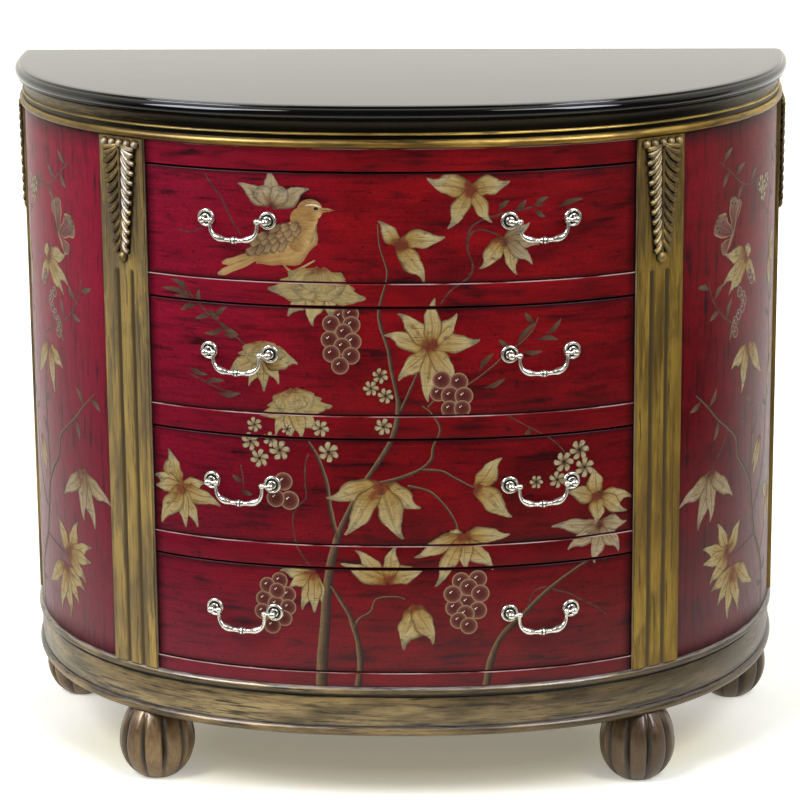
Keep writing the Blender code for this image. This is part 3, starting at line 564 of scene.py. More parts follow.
drop_patterns = {"left": carved_drop("drop_left", 1), "right": carved_drop("drop_right", -1)}
print("one carved drop:", len(drop_patterns["left"].data.polygons), "faces")

# %% Hang a drop on each pilaster
for (row, side), board in boards.items():
    angle = FRONT_ANGLE if row == "front" else REAR_ANGLE
    spot, normal, _ = pilaster_place(angle, dict(SIDES)[side])
    carving = copy_of(drop_patterns[side], f"carved_drop_{row}_{side}")
    turn_to(carving, spot + Vector((0, 0, CASE_HIGH - 0.0016)), normal)
    smooth(board, 40)
    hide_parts(f"{row}_pilaster_{side}")
    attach(board, "case")
    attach(carving, "case")
drop(*drop_patterns.values())

# %% [markdown]
# ## Side panels
# Curved red panels fill the sides between the pilasters. A panel is swept as a ring, then
# sawn square to the front pilaster's edge and along the rear pilaster's front edge.

# %% Make the side panels
PANEL_BACK, PANEL_EASE = -0.0150, 0.0004
panel_section = [(PANEL_BACK, CASE_LOW), (-PANEL_EASE, CASE_LOW), (0.0, CASE_LOW + PANEL_EASE),
                 (0.0, CASE_HIGH - PANEL_EASE), (-PANEL_EASE, CASE_HIGH), (PANEL_BACK, CASE_HIGH)]
panels = {}
for side, sign in SIDES:
    panel = swept(f"red_side_panel_{side}", panel_section)
    spot, _, across = pilaster_place(FRONT_ANGLE, sign)
    saw(panel, spot + across * (FRONT_HALF + 0.0003), -across)
    saw(panel, (0, WALL_Y - PANEL_EDGE, 0), (0, 1, 0))
    measure_bow(smooth(panel, 50))
    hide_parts(f"side_panel_{side}")
    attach(panel, "case")
    panels[side] = panel
print("side panels:", [len(panel.data.polygons) for panel in panels.values()], "faces")

# %% [markdown]
# ## Feet
# Bun feet, turned on a lathe and then gadrooned: ten fat lobes with narrow grooves
# between them. The lathe gives the bun, and each point near a groove is pulled in.

# %% Turn and gadroon one foot, then set four
FOOT_HEIGHT, FOOT_RADIUS, NECK_RADIUS, SOLE_RADIUS = 0.0900, 0.0470, 0.0310, 0.0225
JOINT, GROOVE_SHARE = 0.0003, 0.12
lean, foot_lean = math.acos(NECK_RADIUS / FOOT_RADIUS), math.acos(SOLE_RADIUS / FOOT_RADIUS)
foot_profile = [(0, FOOT_HEIGHT - JOINT), (0.0290, FOOT_HEIGHT - JOINT)]
for index in range(41):
    angle = lean - (lean + foot_lean) * index / 40
    stretch = math.sin(lean) if angle > 0 else math.sin(foot_lean)
    height = (FOOT_HEIGHT / 2
              + (FOOT_HEIGHT / 2 - JOINT * (angle > 0)) * math.sin(angle) / stretch)
    foot_profile.append((FOOT_RADIUS * math.cos(angle), height))
foot_profile.append((0, 0))
foot_pattern = lathe("foot_pattern", foot_profile, 160)
grooves = foot_pattern.data.attributes.new("groove", "FLOAT", "POINT")
for index, point in enumerate(foot_pattern.data.vertices):
    angle = math.atan2(point.co.y, point.co.x)
    nearness = abs(math.cos(5 * angle)) ** 11
    fade = math.sin(math.pi * min(1, max(0, point.co.z / FOOT_HEIGHT))) ** 0.4
    point.co.x *= 1 - GROOVE_SHARE * nearness * fade
    point.co.y *= 1 - GROOVE_SHARE * nearness * fade
    grooves.data[index].value = nearness * fade
smooth(foot_pattern, 60)
for row in ("front", "rear"):
    for side in ("left", "right"):
        low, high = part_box(f"foot_{row}_{side}")
        foot = copy_of(foot_pattern, f"melon_foot_{row}_{side}")
        foot.location = ((low.x + high.x) / 2, (low.y + high.y) / 2, 0)
        settle(foot)
        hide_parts(f"foot_{row}_{side}")
        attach(foot, "case")
        print(foot.name, [round((a + b) / 2, 4) for a, b in zip(low, high)])
drop(foot_pattern)

# %% [markdown]
# ## Pulls
# Each pull has two posts, turned with a dished rosette behind a round head, and a cast
# bail that swings between them: two arms that swell towards a small bead in the middle.
# One post and one bail are made at the origin and copied to the eight pulls.

# %% Turn one post
PULL_X, PULL_HEIGHT, BORING_HALF = 0.1770, 0.0726, 0.0381   # a pull's middle, half its boring
FRONT_FACE, HEAD_OUT = -0.0009, 0.0128                      # drawer face, then post head
BAIL_HALF, BAIL_DROP = 0.0291, 0.0230
seat = -HEAD_OUT
face = seat + 0.0032
post_profile = arc((0, 0), 0.0046, 90, -42, 14)
post_profile += [(0.0031, -0.0040), (0.0029, face + 0.0030), (0.0031, face + 0.0018)]
post_profile += arc((0.0040, face + 0.0008), 0.0012, 120, 10, 4)
post_profile += [(0.0055, face - 0.0004), (0.0058, face - 0.0013), (0.0071, face - 0.0013),
                 (0.0074, face - 0.0002)]
post_profile += arc((0.0090, face - 0.0016), 0.0016, 150, 0, 8)
post_profile += [(0.0107, face - 0.0022), (0.0107, seat), (0, seat)]
post_pattern = lathe("post_pattern", post_profile, 48)


def post_patina(place):
    """Black stays in the ring round the boss, in the neck and behind the rosette."""
    radius = math.hypot(place.x, place.y)
    if 0.0054 < radius < 0.0075 and place.z < face - 0.0001:
        return 1.0
    if radius < 0.0033 and seat < place.z < -0.0036:
        return 0.85
    return 0.5 if radius > 0.0106 and place.z < seat + 0.0006 else 0.0


mark(post_pattern, "patina", post_patina)
post_pattern.matrix_world = Matrix.Rotation(math.pi / 2, 4, "X")
settle(post_pattern)
print("one post:", len(post_pattern.data.polygons), "faces")

# %% Cast one bail
def bail_shape(share):
    """Place and radius along half of a bail, from its eye (0) to the middle bead (1)."""
    angle = math.pi / 2 * share
    x = BAIL_HALF * max(0, math.cos(angle)) ** 0.70
    z = -BAIL_DROP * math.sin(angle) ** 0.55
    beyond = share - 0.68
    swell = math.exp(-((beyond / (0.16 if beyond > 0 else 0.30)) ** 2))
    bead = math.exp(-(((1 - share) / 0.050) ** 2))
    collar = math.exp(-(((share - 0.90) / 0.018) ** 2))
    return x, z, 0.0020 + 0.0021 * swell + 0.0024 * bead + 0.0006 * collar


arm = []
for index in range(97):
    along = 1 - abs(index - 48) / 48
    x, z, radius = bail_shape(math.sin(math.pi / 2 * along))
    arm.append((math.copysign(x, index - 48), 0, z, radius))
bail_pattern = tube("bail_pattern", arm, 16)
knuckle_profile = ([(0, 0.0066), (0.0014, 0.0066), (0.0014, 0.0034), (0.0022, 0.0031)]
                   + arc((0, 0), 0.0036, 52, -62, 10) + [(0.0024, -0.0033), (0, -0.0036)])
knuckles = []
for sign in (-1, 1):
    knuckle = lathe("knuckle", knuckle_profile, 24)
    knuckle.matrix_world = (Matrix.Translation((sign * BAIL_HALF, 0, 0))
                            @ Matrix.Rotation(sign * math.pi / 2, 4, "Y"))
    knuckles.append(settle(knuckle))
pick(bail_pattern, *knuckles)
bpy.ops.object.join()
bail_pattern = smooth(bpy.context.object, 60)


def bail_patina(place):
    """Black stays in the necks beside the bead and round the knuckles."""
    x = abs(place.x)
    if 0.0014 < x < 0.0026:
        return 0.8
    if x > 0.0258 and place.z > -0.0075:
        return 0.24
    return 0.05 if place.y < 0 else 0.5


mark(bail_pattern, "patina", bail_patina)
print("one bail:", len(bail_pattern.data.polygons), "faces")

# %% Hang the eight pulls
chord_normal = bow(bow_angle(PULL_X))[1]
chord_turn = math.atan2(chord_normal.x, -chord_normal.y)
for number, floor in OPENINGS.items():
    for side, sign in SIDES:
        heads = []
        for end, step in SIDES:
            x = sign * PULL_X + step * BORING_HALF * math.cos(chord_turn)
            spot, normal = bow(bow_angle(x), FRONT_FACE)
            head = spot + normal * HEAD_OUT + Vector((0, 0, floor + PULL_HEIGHT))
            heads.append(head)
            post = copy_of(post_pattern, f"silver_post_{number}_{side}_{end}")
            turn_to(post, head, normal)
            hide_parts(f"post_{number}_{side}_{end}")
            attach(post, f"drawer_{number}")
        swing = heads[1] - heads[0]
        bail = copy_of(bail_pattern, f"silver_bail_{number}_{side}")
        turn_to(bail, (heads[0] + heads[1]) / 2, Vector((swing.y, -swing.x, 0)).normalized())
        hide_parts(f"bail_{number}_{side}")
        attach(bail, f"bail_{number}_{side}")
drop(post_pattern, bail_pattern)
print("pulls hung:", 2 * len(OPENINGS))

# %% [markdown]
# ## Colours and nodes
# Colours are written as the eye reads them, in sRGB hex, and one function turns them to
# the linear values that shaders use. `feed` sets or links the inputs of a node, `add` adds
# a node, sets it up and feeds it, and `glaze` lays one tint over a colour, so a material
# reads as a recipe. A Map Range takes a value, the range it comes from and the range it
# goes to.

# %% Colour and node helpers
def paint(code):
    """An sRGB hex colour as linear RGBA."""
    parts = [int(code[i:i + 2], 16) / 255 for i in (1, 3, 5)]
    return [p / 12.92 if p <= 0.04045 else ((p + 0.055) / 1.055) ** 2.4 for p in parts] + [1.0]


BLEND = {"data_type": "RGBA"}
TINT = {"data_type": "RGBA", "blend_type": "MULTIPLY"}


def feed(node, *in_order, **by_name):
    """Set or link inputs, in the order that the node shows them or by name."""
    pairs = list(zip([socket for socket in node.inputs if socket.enabled], in_order))
    pairs += [(node.inputs[name.replace("_", " ")], value) for name, value in by_name.items()]
    for socket, value in pairs:
        if isinstance(value, bpy.types.Node):
            value = next(output for output in value.outputs if output.enabled)
        if isinstance(value, bpy.types.NodeSocket):
            node.id_data.links.new(value, socket)
        else:
            socket.default_value = paint(value) if isinstance(value, str) else value


def add(tree, kind, inputs=(), stops=(), **settings):
    """Add a node, set it up and feed it: a dictionary goes by name, a list in order."""
    node = tree.nodes.new("ShaderNode" + kind)
    for name, value in settings.items():
        setattr(node, name, value)
    for index, (place, code) in enumerate(stops):
        if index >= len(node.color_ramp.elements):
            node.color_ramp.elements.new(1.0)
        node.color_ramp.elements[index].position = place
        node.color_ramp.elements[index].color = paint(code)
    if isinstance(inputs, dict):
        feed(node, **inputs)
    else:
        feed(node, *inputs)
    return node


def new_finish(name, **constants):
    """A material with one Principled shader and its plain numbers set on the sockets."""
    finish = bpy.data.materials.new(name)
    finish.use_nodes = True
    finish.node_tree.nodes.clear()
    shader = add(finish.node_tree, "BsdfPrincipled", constants)
    add(finish.node_tree, "OutputMaterial", {"Surface": shader})
    return finish, finish.node_tree, shader


def glaze(tree, colour, measure, start, end, most, tint):
    """Lay a tint over a colour: none where the measure is `start`, `most` where it is `end`."""
    amount = add(tree, "MapRange", [measure, start, end, 0, most])
    return add(tree, "Mix", [amount, colour, tint], **BLEND)


def coat_with(finish, *pieces):
    """Give pieces one finish."""
    for piece in pieces:
        piece.data.materials.clear()
        piece.data.materials.append(finish)


# %% [markdown]
# ## Red lacquer
# The lacquer is a deep red oil varnish over a black ground, rubbed through in streaks and
# then waxed to a satin sheen. Streaks run along the drawers and rails, and upwards on the
# side panels. The pattern is laid on the unrolled bow, so it bends with the wood: streaks
# on the front are about 70 mm long and 8 mm wide, with finer brush marks between them.

# %% Mix the red lacquer
def red_lacquer(name, along, across, deep, bright, edge_shade, levels, shine):
    """Rubbed lacquer. `along` and `across` are streak sizes in metres, s first, then z."""
    finish, tree, shader = new_finish(name, Specular_IOR_Level=shine, IOR=1.5)
    where = add(tree, "Attribute", attribute_name="unrolled").outputs["Vector"]
    place = add(tree, "SeparateXYZ", [where]).outputs
    clouds, streaks, brush, specks, grain, smudges = [
        add(tree, "TexNoise", {
            "Vector": add(tree, "Mapping", {"Vector": where, "Location": start, "Scale": scale}),
            "Scale": 1, "Detail": detail, "Roughness": rough, "Distortion": wander})
        for start, scale, detail, rough, wander in (
            ((0, 0, 0), (9, 9, 22), 3, 0.6, 0),
            ((0, 0, 0), (1 / along, 20, 1 / across), 4, 0.52, 0.45),
            ((3.1, 0, 1.7), (1 / along / 0.9, 60, 1 / across / 0.22), 3, 0.7, 0),
            ((0, 0, 0), (260, 260, 420), 1, 0.5, 0),
            ((0, 0, 0), (330, 330, 420), 3, 0.5, 0),
            # short black smudges where the polish has caught, 25 mm long and 3 mm wide
            ((7.7, 0, 3.9), (2.4 / along, 20, 1 / across), 4, 0.6, 0.6),
        )]
    red = add(tree, "ValToRGB", [clouds], [(0.30, deep), (0.68, bright)])
    brushed = add(tree, "MapRange", [brush, 0.36, 0.66, 0.84, 1.08])
    # painted light: the red turns crimson to the left, where the light falls, and a little browner
    # and darker to the right, as painted shade
    left = glaze(tree, red, place["X"], -0.04, -0.30, 0.80, "#8c0a30")
    right = glaze(tree, left, place["X"], 0.10, 0.32, 0.35, "#5c0608")
    toned = add(tree, "Mix", [1.0, right, brushed], **TINT)
    # the streaks crowd together in darker clouds and leave the middle of a panel clearer
    crowded = add(tree, "MapRange", [clouds, 0.58, 0.40, 0.40, 0.95])
    rubbed = add(tree, "MapRange", [streaks, 0.51, 0.70, 0, 1])
    worn = add(tree, "Math", [rubbed, crowded], operation="MULTIPLY")
    streaked = add(tree, "Mix", [worn, toned, "#1c070c"], **BLEND)
    pores = add(tree, "MapRange", [grain, 0.35, 0.65, 0.86, 1.11])
    grained = add(tree, "Mix", [1.0, streaked, pores], **TINT)
    flecked = glaze(tree, grained, specks, 0.705, 0.745, 0.9, "#120a0a")
    smudged = glaze(tree, flecked, smudges, 0.60, 0.74, 0.78, "#160a10")
    # the front is darker towards the bottom, and has a pale painted reflection of the floor at the
    # very bottom
    deeper = add(tree, "MapRange", [place["Z"], 0.62, 0.42, 1.0, 0.72])
    darkened = add(tree, "Mix", [1.0, smudged, deeper], **TINT)
    floor_reflection = glaze(tree, darkened, place["Z"], 0.32, 0.15, 0.07, "#a08a8c")
    colour = levels(tree, place, floor_reflection, streaks, brush, edge_shade)
    gloss = add(tree, "MapRange", [brush, 0.3, 0.7, 0.27, 0.40])
    height = add(tree, "Mix", [0.5, brush, streaks])
    bump = add(tree, "Bump", {"Strength": 0.16, "Distance": 0.0004, "Height": height})
    feed(shader, Base_Color=colour, Roughness=gloss, Normal=bump)
    return finish


# %% Where the lacquer is worn and darkened
DRAWER_PITCH = 0.1588     # from one opening's floor to the next


def front_levels(tree, place, colour, streaks, brush, edge_shade):
    """Painted shade round each drawer's edges, and a pale line on each rail's upper edge, partly
    rubbed wear and partly a painted highlight.

    `local` is how high a point lies above the floor of its own opening.
    """
    step = add(tree, "Math", [place["Z"], OPENINGS[4]], operation="SUBTRACT")
    local = add(tree, "Math", [step, DRAWER_PITCH], operation="FLOORED_MODULO")
    frayed = add(tree, "Math", [brush, 0.0085], operation="MULTIPLY")
    on_drawer = add(tree, "Math", [local, 0.1312], operation="LESS_THAN")
    rising = add(tree, "MapRange", [local, 0.1225, 0.1292, 0, 1])
    near_top = add(tree, "Math", [rising, on_drawer], operation="MULTIPLY")
    lowered = add(tree, "Math", [local, frayed], operation="SUBTRACT")
    near_low = add(tree, "MapRange", [lowered, 0.0035, -0.004, 0, 1])
    aside = add(tree, "Math", [place["X"]], operation="ABSOLUTE")
    near_end = add(tree, "MapRange", [aside, 0.287, 0.300, 0, 1])
    # painted shade along each drawer's top and bottom and at its ends beside the pilasters
    edges = near_top
    for edge in (near_low, near_end):
        edges = add(tree, "Math", [edges, edge], operation="MAXIMUM")
    amount = add(tree, "Math", [edges, edge_shade], operation="MULTIPLY")
    dark = add(tree, "Mix", [amount, colour, "#160509"], **BLEND)
    # the pale line on the rail's upper edge: rubbed wear, broken in places, and a painted highlight
    worn = add(tree, "MapRange", [local, 0.15755, 0.15835, 0, 1])
    broken = add(tree, "MapRange", [streaks, 0.40, 0.54, 0.05, 0.90])
    wear_and_highlight = add(tree, "Math", [worn, broken], operation="MULTIPLY")
    return add(tree, "Mix", [wear_and_highlight, dark, "#c9aaa6"], **BLEND)


def panel_levels(tree, place, colour, streaks, brush, edge_shade):
    """Painted shade on a side panel under the cornice, above the base and beside the pilasters, and
    a pale painted sheen towards the wall.
    """
    top = add(tree, "MapRange", [place["Z"], 0.780, 0.802, 0, 1])
    foot = add(tree, "MapRange", [place["Z"], 0.176, 0.154, 0.0, 0.8])
    side = add(tree, "Math", [place["X"]], operation="ABSOLUTE")
    inner = add(tree, "MapRange", [side, 0.380, 0.371, 0.0, 0.9])
    outer = add(tree, "MapRange", [side, 0.672, 0.690, 0, 1])
    edges = top
    for edge in (foot, inner, outer):
        edges = add(tree, "Math", [edges, edge], operation="MAXIMUM")
    patchy = add(tree, "MapRange", [brush, 0.3, 0.6, 0.4, 1.0])
    amount = add(tree, "Math", [edges, patchy], operation="MULTIPLY")
    amount = add(tree, "Math", [amount, edge_shade], operation="MULTIPLY")
    # a pale painted sheen grows towards the wall
    painted_sheen = glaze(tree, colour, side, 0.48, 0.66, 0.15, "#a89a98")
    return add(tree, "Mix", [amount, painted_sheen, "#160509"], **BLEND)


# %% Lacquer the rails, drawer fronts and panels
front_red = red_lacquer("rubbed_red_lacquer_front", 0.070, 0.0085, "#5c0209", "#8a0510",
                        0.80, front_levels, 0.10)
panel_red = red_lacquer("rubbed_red_lacquer_panel", 0.0075, 0.075, "#5c0513", "#86081c",
                        0.80, panel_levels, 0.08)
for piece in bpy.data.objects:
    if piece.name.startswith(("red_rail", "red_drawer_front")):
        coat_with(front_red, piece)
    elif piece.name.startswith("red_side_panel"):
        coat_with(panel_red, piece)

# %% [markdown]
# ## Black gloss top
# Polished black lacquer: almost no colour of its own, so what the eye sees is what it
# reflects. Only a very faint unevenness, about 40 mm across, keeps the reflection from
# looking like glass.

# %% Polish the top
black_gloss, tree, shader = new_finish(
    "black_gloss_lacquer", Base_Color="#050506", IOR=1.5, Specular_IOR_Level=0.36,
    Specular_Tint="#fffcf4")
spots = add(tree, "TexCoord").outputs["Object"]
orange_peel = add(tree, "TexNoise", {"Vector": spots, "Scale": 25, "Detail": 2})
haze = add(tree, "MapRange", [orange_peel, 0.3, 0.7, 0.06, 0.11])
bump = add(tree, "Bump", {"Strength": 0.007, "Distance": 0.001, "Height": orange_peel})
feed(shader, Roughness=haze, Normal=bump)
coat_with(black_gloss, top_board)

# %% [markdown]
# ## Worn gold
# Bronze-gold paint over an umber ground, dragged with a dry brush and rubbed, so dark
# lines show along the grain. On the pilasters the grain is upright; round the mouldings it
# runs along the bow. Flutes and the beds of the carving are darkened with painted shade.

# %% Mix the worn gold
def worn_gold(name, streak_scale, light, dark, ground, cover, coordinates="Object",
              gloss_range=(0.36, 0.55), patches=0.45):
    """Dragged gold paint. `streak_scale` is streaks per metre in x, y and z.

    It hands back the colour and the fine streaks too, and the places they were laid by.
    """
    finish, tree, shader = new_finish(name, Metallic=0.30, IOR=1.5, Specular_IOR_Level=0.4)
    if coordinates == "Object":
        where = add(tree, "TexCoord").outputs["Object"]
    else:
        where = add(tree, "Attribute", attribute_name=coordinates).outputs["Vector"]
    clouds, drag, fine, smear = [
        add(tree, "TexNoise", {
            "Vector": add(tree, "Mapping", {
                "Vector": where, "Location": start,
                "Scale": tuple(least + share * s for s in streak_scale)}),
            "Scale": 1, "Detail": detail, "Roughness": rough, "Distortion": wander})
        for start, least, share, detail, rough, wander in (
            ((0, 0, 0), 6, 0.12, 3, 0.6, 0),
            ((0, 0, 0), 0, 1, 4, 0.65, 0.2),
            ((2.3, 1.1, 4.2), 0, 2.6, 3, 0.7, 0),
            # wider smears where the gold went on thin
            ((6.1, 3.7, 8.8), 5, 0.30, 5, 0.68, 0.5),
        )]
    gold = add(tree, "ValToRGB", [clouds], [(0.38, dark), (0.60, light)])
    line_tone = add(tree, "MapRange", [fine, 0.32, 0.68, 0.70, 1.16])
    toned = add(tree, "Mix", [1.0, gold, line_tone], **TINT)
    lined = glaze(tree, toned, drag, cover + 0.02, cover + 0.10, 0.9, ground)
    dragged = glaze(tree, lined, smear, 0.49, 0.59, patches, ground)
    gloss = add(tree, "MapRange", [fine, 0.3, 0.7, gloss_range[0], gloss_range[1]])
    height = add(tree, "Mix", [0.5, fine, drag])
    bump = add(tree, "Bump", {"Strength": 0.22, "Distance": 0.0004, "Height": height})
    feed(shader, Roughness=gloss, Normal=bump)
    return finish, tree, shader, dragged, fine, add(tree, "SeparateXYZ", [where]).outputs


def relief_shade(tree, shader, colour, bed, crest, bed_at, crest_at):
    """Painted shade on what lies deep and a painted highlight on what stands proud, by the stored
    relief.
    """
    relief = add(tree, "Attribute", attribute_name="relief").outputs["Fac"]
    shaded = glaze(tree, colour, relief, bed_at[1], bed_at[0], 1, bed)
    feed(shader, Base_Color=glaze(tree, shaded, relief, crest_at[0], crest_at[1], 0.75, crest))


# %% Gild the pilasters and their carving
pilaster_gold, tree, shader, colour, fine, place = worn_gold("worn_gold_pilaster_paint",
    (260, 260, 10), "#b4933a", "#846628", "#251a0d", 0.535, patches=0.58)
feed(shader, Specular_IOR_Level=0.34)
# painted light: the board is greyer to the left, where the light falls, and browner and darker to
# the right, as painted shade
greyed = glaze(tree, colour, place["X"], -0.20, -0.34, 0.35, "#8c8068")
left = glaze(tree, greyed, place["X"], 0.20, 0.34, 0.55, "#6c520c")
# the edge beside the drawers is pale in places: rubbed through to gesso, with a painted highlight
# on the arris
side = add(tree, "Math", [place["X"]], operation="ABSOLUTE")
arris = add(tree, "MapRange", [side, 0.2890, 0.2899, 1, 0])
patchy = add(tree, "MapRange", [fine, 0.38, 0.56, 0.15, 0.9])
wear_and_highlight = add(tree, "Math", [arris, patchy], operation="MULTIPLY")
edged = add(tree, "Mix", [wear_and_highlight, left, "#b5ad98"], **BLEND)
# brown wax and painted shade darken the board at its head, round the carving
up = add(tree, "MapRange", [place["Z"], 0.640, 0.700, 0, 1])
wax_and_shade_mottle = add(tree, "MapRange", [fine, 0.36, 0.62, 0.75, 0.10])
wax_and_shade = add(tree, "Math", [up, wax_and_shade_mottle], operation="MULTIPLY")
waxed = add(tree, "Mix", [wax_and_shade, edged, "#4a3b26"], **BLEND)
# painted shade in the flutes, by the stored relief
relief_shade(tree, shader, waxed, "#4c3d22", "#a1883f", (-2.3, -1.0), (4.0, 5.0))

carved_gold, tree, shader, colour, _, place = worn_gold("worn_gold_carving", (300, 300, 160),
    "#94793e", "#66502a", "#251c12", 0.66)
feed(shader, Metallic=0.45)
# the painted highlight on the crests is whiter and bluer to the left, where the light falls, and
# golden to the right
crest = glaze(tree, "#e6e6ea", place["X"], 0.10, 0.30, 1, "#c8bc98")
relief_shade(tree, shader, colour, "#241b11", crest, (1.2, 4.4), (5.0, 6.4))

# %% Gild the base moulding
moulding_gold, tree, shader, colour, fine, place = worn_gold("worn_gold_base_paint",
    (14, 170, 240), "#a08b62", "#645639", "#26221f", 0.53, coordinates="unrolled",
    gloss_range=(0.24, 0.42), patches=0.55)
# painted shade: the moulding darkens towards the right, away from the light
colour = glaze(tree, colour, place["X"], -0.08, 0.36, 0.66, "#3c3122")
# from the foot of the moulding up: the roll, the fillet, the band, the groove, the astragal; the
# dark stops at the foot of the roll, at the fillet and in the groove are painted shade
rise = add(tree, "MapRange", [place["Z"], 0.090, 0.152, 0, 1])
seams = add(tree, "ValToRGB", [rise], [(0.0, "#2c251c"), (0.035, "#e8dcc8"), (0.13, "#fff8ec"),
    (0.170, "#c8b898"), (0.195, "#1c1610"), (0.225, "#ffffff"), (0.77, "#fff8ea"),
    (0.795, "#40382c"), (0.835, "#1c1710"), (0.87, "#b8ac90"), (0.97, "#fffaf0")])
shaded = add(tree, "Mix", [1.0, colour, seams], **TINT)
# a painted highlight: a pale grey line on the upper edges of the two rolls, broken here and there
edges = add(tree, "ValToRGB", [place["Z"]], [(0.0985, "#000000"), (0.1005, "#ffffff"),
    (0.1020, "#000000"), (0.1490, "#000000"), (0.1508, "#ffffff"), (0.1530, "#ffffff")])
broken = add(tree, "MapRange", [fine, 0.40, 0.60, 0.10, 0.75])
pale = add(tree, "Math", [edges, broken], operation="MULTIPLY")
rubbed = add(tree, "Mix", [pale, shaded, "#b4b0b2"], **BLEND)
feed(shader, Base_Color=rubbed)
coat_with(moulding_gold, base)

# %% Gild the cornice
cornice_gold, tree, shader, colour, fine, place = worn_gold("bronze_and_gold_cornice_paint",
    (15, 150, 260), "#e2c474", "#967a3c", "#241a0f", 0.55, coordinates="unrolled",
    gloss_range=(0.26, 0.42), patches=0.48)
# from below: the gold roll, the black groove, the gold bead and the black hollow; the roll's darker
# underside and the black of the groove and the hollow are painted shade
rise = add(tree, "MapRange", [place["Z"], 0.805, 0.8382, 0, 1])
members = add(tree, "ValToRGB", [rise], [(0.0, "#3c3018"), (0.04, "#98875e"), (0.18, "#d0c096"),
    (0.27, "#fff8e0"), (0.31, "#2a2114"), (0.33, "#0a0806"), (0.455, "#0a0806"),
    (0.470, "#fff4d0"), (0.53, "#fffdf0"), (0.55, "#0c0a08"), (0.62, "#120f0c"),
    (0.95, "#0c0a08")])
dulled = glaze(tree, colour, place["X"], 0.15, -0.30, 0.62, "#6a5a3e")
shaded = add(tree, "Mix", [1.0, dulled, members], **TINT)
# at the left end, where the light falls, the painted shade in the hollow breaks into flecks of gold
hollow = add(tree, "ValToRGB", [place["Z"]], [(0.8235, "#000000"), (0.8255, "#ffffff"),
    (0.8340, "#ffffff"), (0.8375, "#000000")])
at_left = add(tree, "MapRange", [place["X"], -0.26, -0.44, 0, 1])
flecks = add(tree, "MapRange", [fine, 0.46, 0.58, 0.0, 0.80])
hollow_at_left = add(tree, "Math", [hollow, at_left], operation="MULTIPLY")
rubbed = add(tree, "Math", [hollow_at_left, flecks], operation="MULTIPLY")
flecked = add(tree, "Mix", [rubbed, shaded, "#7a5f26"], **BLEND)
feed(shader, Base_Color=flecked, Specular_Tint="#dccdb0")
coat_with(cornice_gold, cornice)
print("gilded:", base.name, "and", cornice.name)

# %% [markdown]
# ## Bronze feet
# The feet are painted a dull bronze brown, with painted shade in the grooves and towards the
# right; the wax on the lobes shows a soft upright shine.

# %% Paint the feet
foot_bronze, tree, shader, colour, _, place = worn_gold("waxed_bronze_brown", (120, 120, 26),
    "#8f734c", "#644a2c", "#2e2318", 0.62, gloss_range=(0.26, 0.44), patches=0.36)
hollow = add(tree, "Attribute", attribute_name="groove").outputs["Fac"]
# painted shade: darker towards the right, away from the light, and darker still in the grooves
umber = glaze(tree, colour, place["X"], 0.10, 0.30, 0.80, "#3c2a16")
shaded = glaze(tree, umber, hollow, 0.26, 0.80, 0.90, "#1d160f")
feed(shader, Base_Color=shaded, Specular_IOR_Level=0.6)

# %% [markdown]
# ## Old silver
# Cast white metal, plated, then blackened and rubbed bright on what stands proud. Metal
# keeps the default IOR; the patina is a dark, rougher colour in the hollows.

# %% Silver the pulls
old_silver, tree, shader = new_finish("old_silver_with_patina", Metallic=0.88)
spots = add(tree, "TexCoord").outputs["Object"]
mottle = add(tree, "TexNoise", {"Vector": spots, "Scale": 420, "Detail": 3})
stored = add(tree, "Attribute", attribute_name="patina").outputs["Fac"]
spread = add(tree, "MapRange", [mottle, 0.35, 0.65, -0.09, 0.09])
amount = add(tree, "Math", [stored, spread], operation="ADD")
silver = add(tree, "ValToRGB", [mottle], [(0.35, "#c8c3b3"), (0.65, "#e8e4d8")])
colour = glaze(tree, silver, amount, 0.30, 0.76, 0.97, "#0d0b09")
gloss = add(tree, "MapRange", [amount, 0.1, 0.8, 0.22, 0.52])
feed(shader, Base_Color=colour, Roughness=gloss)

# %% [markdown]
# ## Plain wood
# The hidden boards are plain softwood and the drawers a paler timber. Growth rings are
# drawn as wide wavy bands, 8 mm apart, with fine fibres along the board.

# %% Wood for the carcase and the drawers
def plain_wood(name, light, dark, grain, ring):
    """Sawn wood; `grain` scales the fibres in x, y and z, the smallest along the board."""
    finish, tree, shader = new_finish(name, IOR=1.5, Specular_IOR_Level=0.3)
    where = add(tree, "TexCoord").outputs["Object"]
    rings = add(tree, "TexWave", {"Vector": add(tree, "Mapping", {
        "Vector": where, "Scale": ring}), "Scale": 1, "Distortion": 6, "Detail": 2,
        "Detail Scale": 0.8}, wave_type="BANDS", bands_direction="DIAGONAL")
    fibres = add(tree, "TexNoise", {"Vector": add(tree, "Mapping", {
        "Vector": where, "Scale": grain}), "Scale": 1, "Detail": 4, "Roughness": 0.65})
    tone = add(tree, "Mix", [0.22, fibres, rings])
    colour = add(tree, "ValToRGB", [tone], [(0.25, dark), (0.72, light)])
    gloss = add(tree, "MapRange", [fibres, 0.3, 0.7, 0.5, 0.72])
    bump = add(tree, "Bump", {"Strength": 0.2, "Distance": 0.0005, "Height": fibres})
    feed(shader, Base_Color=colour, Roughness=gloss, Normal=bump)
    return finish


